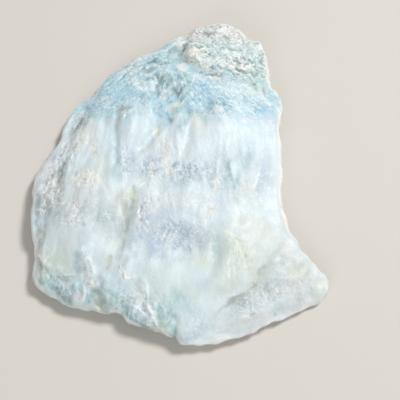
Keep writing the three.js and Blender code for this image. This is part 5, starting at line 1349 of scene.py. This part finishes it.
# %% Specks, crumbs and stains on the crust
smoother = ramp(zone("rough"), 0.9, 0.5)
even = times(smoother, ramp(zone("pink"), 0.1, 0.6, 0.35, 1.0))
specks = cloud(in_mm, 1.9, detail=3.0, roughness=0.7)
crusty = mix(times(ramp(specks, 0.47, 0.38, 0.0, 0.6), even), crusty, dirt_and_shade)
crusty = mix(worn_zone("pink", mottle, 0.6), crusty, BLUSH)
crusty = mix(times(ramp(specks, 0.40, 0.34, 0.0, 0.6), even), crusty, DARK)
crusty = mix(times(ramp(specks, 0.51, 0.59, 0.0, 0.8), even), crusty, GRAIN_TOP)
crusty = mix(worn_zone("white", sparkle, 0.5, least=0.1), crusty, GRAIN_TOP)
crusty = mix(worn_zone("cream", sparkle, 0.7), crusty, CREAMY)
# gleams on the crust: bruises with painted glints
crusty = mix(times(bruises_and_glints, 0.8), crusty, GRAIN_TOP)
# dirt and painted shadow along the shade strokes on the crust
crusty = mix(worn_zone("shade", mottle, 0.7), crusty, DARK)
# the brink on the crust: chalky wear with a painted rim highlight
crusty = mix(worn_zone("brink", mottle, 0.8, least=0.6), crusty, CHALK_AND_RIM_LIGHT)
feed(shader.inputs["Base Color"], mix(zone("crust"), stained, crusty))
print("nodes so far:", len(tree.nodes))

# %% [markdown]
# ## Surface
# The parting is satiny, glossier in some patches than in others and duller on the crust. Light
# sinks a millimetre or so into the stone before it comes back, which softens small shadows; that
# is subsurface scattering. Bump adds the last fibres and grains, which are finer than the mesh.

# %% Roughness, subsurface and bump
CRUST_ROUGHNESS = 0.8

polish = ramp(mottle, 0.3, 0.7, 0.38, 0.60)
feed(shader.inputs["Roughness"], blend(zone("crust"), polish, CRUST_ROUGHNESS))
shader.inputs["IOR"].default_value = 1.6
shader.inputs["Subsurface Weight"].default_value = 0.2
shader.inputs["Subsurface Radius"].default_value = (0.8, 1.0, 1.2)
shader.inputs["Subsurface Scale"].default_value = 0.8 * MM
bump = node("ShaderNodeBump")
feed(bump.inputs["Strength"], ramp(zone("busy"), 0.0, 0.6, 0.35, 0.9))
bump.inputs["Distance"].default_value = 0.25 * MM
feed(bump.inputs["Height"], calc("ADD", times(crossing, 0.6), sparkle))
feed(shader.inputs["Normal"], bump.outputs["Normal"])
print("nodes in all:", len(tree.nodes))

# %% [markdown]
# ## The finished stone
# The dressed copy takes the material and stands in for the measured model, which stays hidden
# under it. The model gets the same material, in case it is ever shown by itself.

# %% Dress the stone and put it in the model's place
mesh.materials.clear()
mesh.materials.append(material)
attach(stone, "root")
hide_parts("larimar_slab")
slab.data.materials.clear()
slab.data.materials.append(material)
print("faces of the finished stone:", len(mesh.polygons))

# %% [markdown]
# ## The floor
# The slab lies on a plain pale floor. The floor belongs to the stage and not to the stone, and is
# a hair lower than the saw cut so that the two faces never flicker.

# %% A plain pale floor
FLOOR_WIDTH = 3
HAIR = 0.02 * MM

bpy.ops.mesh.primitive_plane_add(size=FLOOR_WIDTH, location=(0, 0, -HAIR))
floor = bpy.context.object
floor.name = "floor"
floor_paint = bpy.data.materials.new("floor paint")
floor_paint.use_nodes = True
floor_shader = floor_paint.node_tree.nodes["Principled BSDF"]
floor_shader.inputs["Base Color"].default_value = colour(214, 208, 200)
floor_shader.inputs["Roughness"].default_value = 0.7
floor.data.materials.append(floor_paint)
print("floor width in metres:", FLOOR_WIDTH)

# %% [markdown]
# ## Light
# A big soft lamp stands high in the north-east, so the relief throws its small shadows to the
# south-west. A weaker and wider one fills from the south, and the pale sky does the rest.

# %% Lamps and sky
def lamp(name, place_mm, size_mm, power):
    bpy.ops.object.light_add(type="AREA", location=Vector(place_mm) * MM)
    made = bpy.context.object
    made.name = name
    made.data.size = size_mm * MM
    made.data.energy = power
    made.rotation_euler = (-Vector(place_mm)).to_track_quat("-Z", "Y").to_euler()
    print(name, "at", place_mm)


lamp("key lamp", (400, 290, 700), size_mm=180, power=5.3)
lamp("fill lamp", (-160, -420, 320), size_mm=350, power=0.65)
world = bpy.data.worlds.new("soft sky")
bpy.context.scene.world = world
world.use_nodes = True
world.node_tree.nodes["Background"].inputs["Color"].default_value = (1, 1, 1, 1)
world.node_tree.nodes["Background"].inputs["Strength"].default_value = 0.35

# %% [markdown]
# ## The camera
# The camera looks down on the slab, fifteen degrees off the vertical, from its south side.

# %% Place the camera
TARGET = Vector((4.6, -5.1, 4.0)) * MM
ELEVATION = radians(75)
DISTANCE = 207.8

back = Vector((0, -cos(ELEVATION), sin(ELEVATION)))
bpy.ops.object.camera_add(location=TARGET + back * DISTANCE * MM)
camera = bpy.context.object
camera.rotation_euler = (-back).to_track_quat("-Z", "Y").to_euler()
camera.data.lens = 85
camera.data.sensor_width = 36
camera.data.clip_start = 10 * MM
bpy.context.scene.camera = camera
bpy.context.scene.view_settings.view_transform = "Standard"
print("camera at, in mm:", [round(part / MM, 1) for part in camera.location])
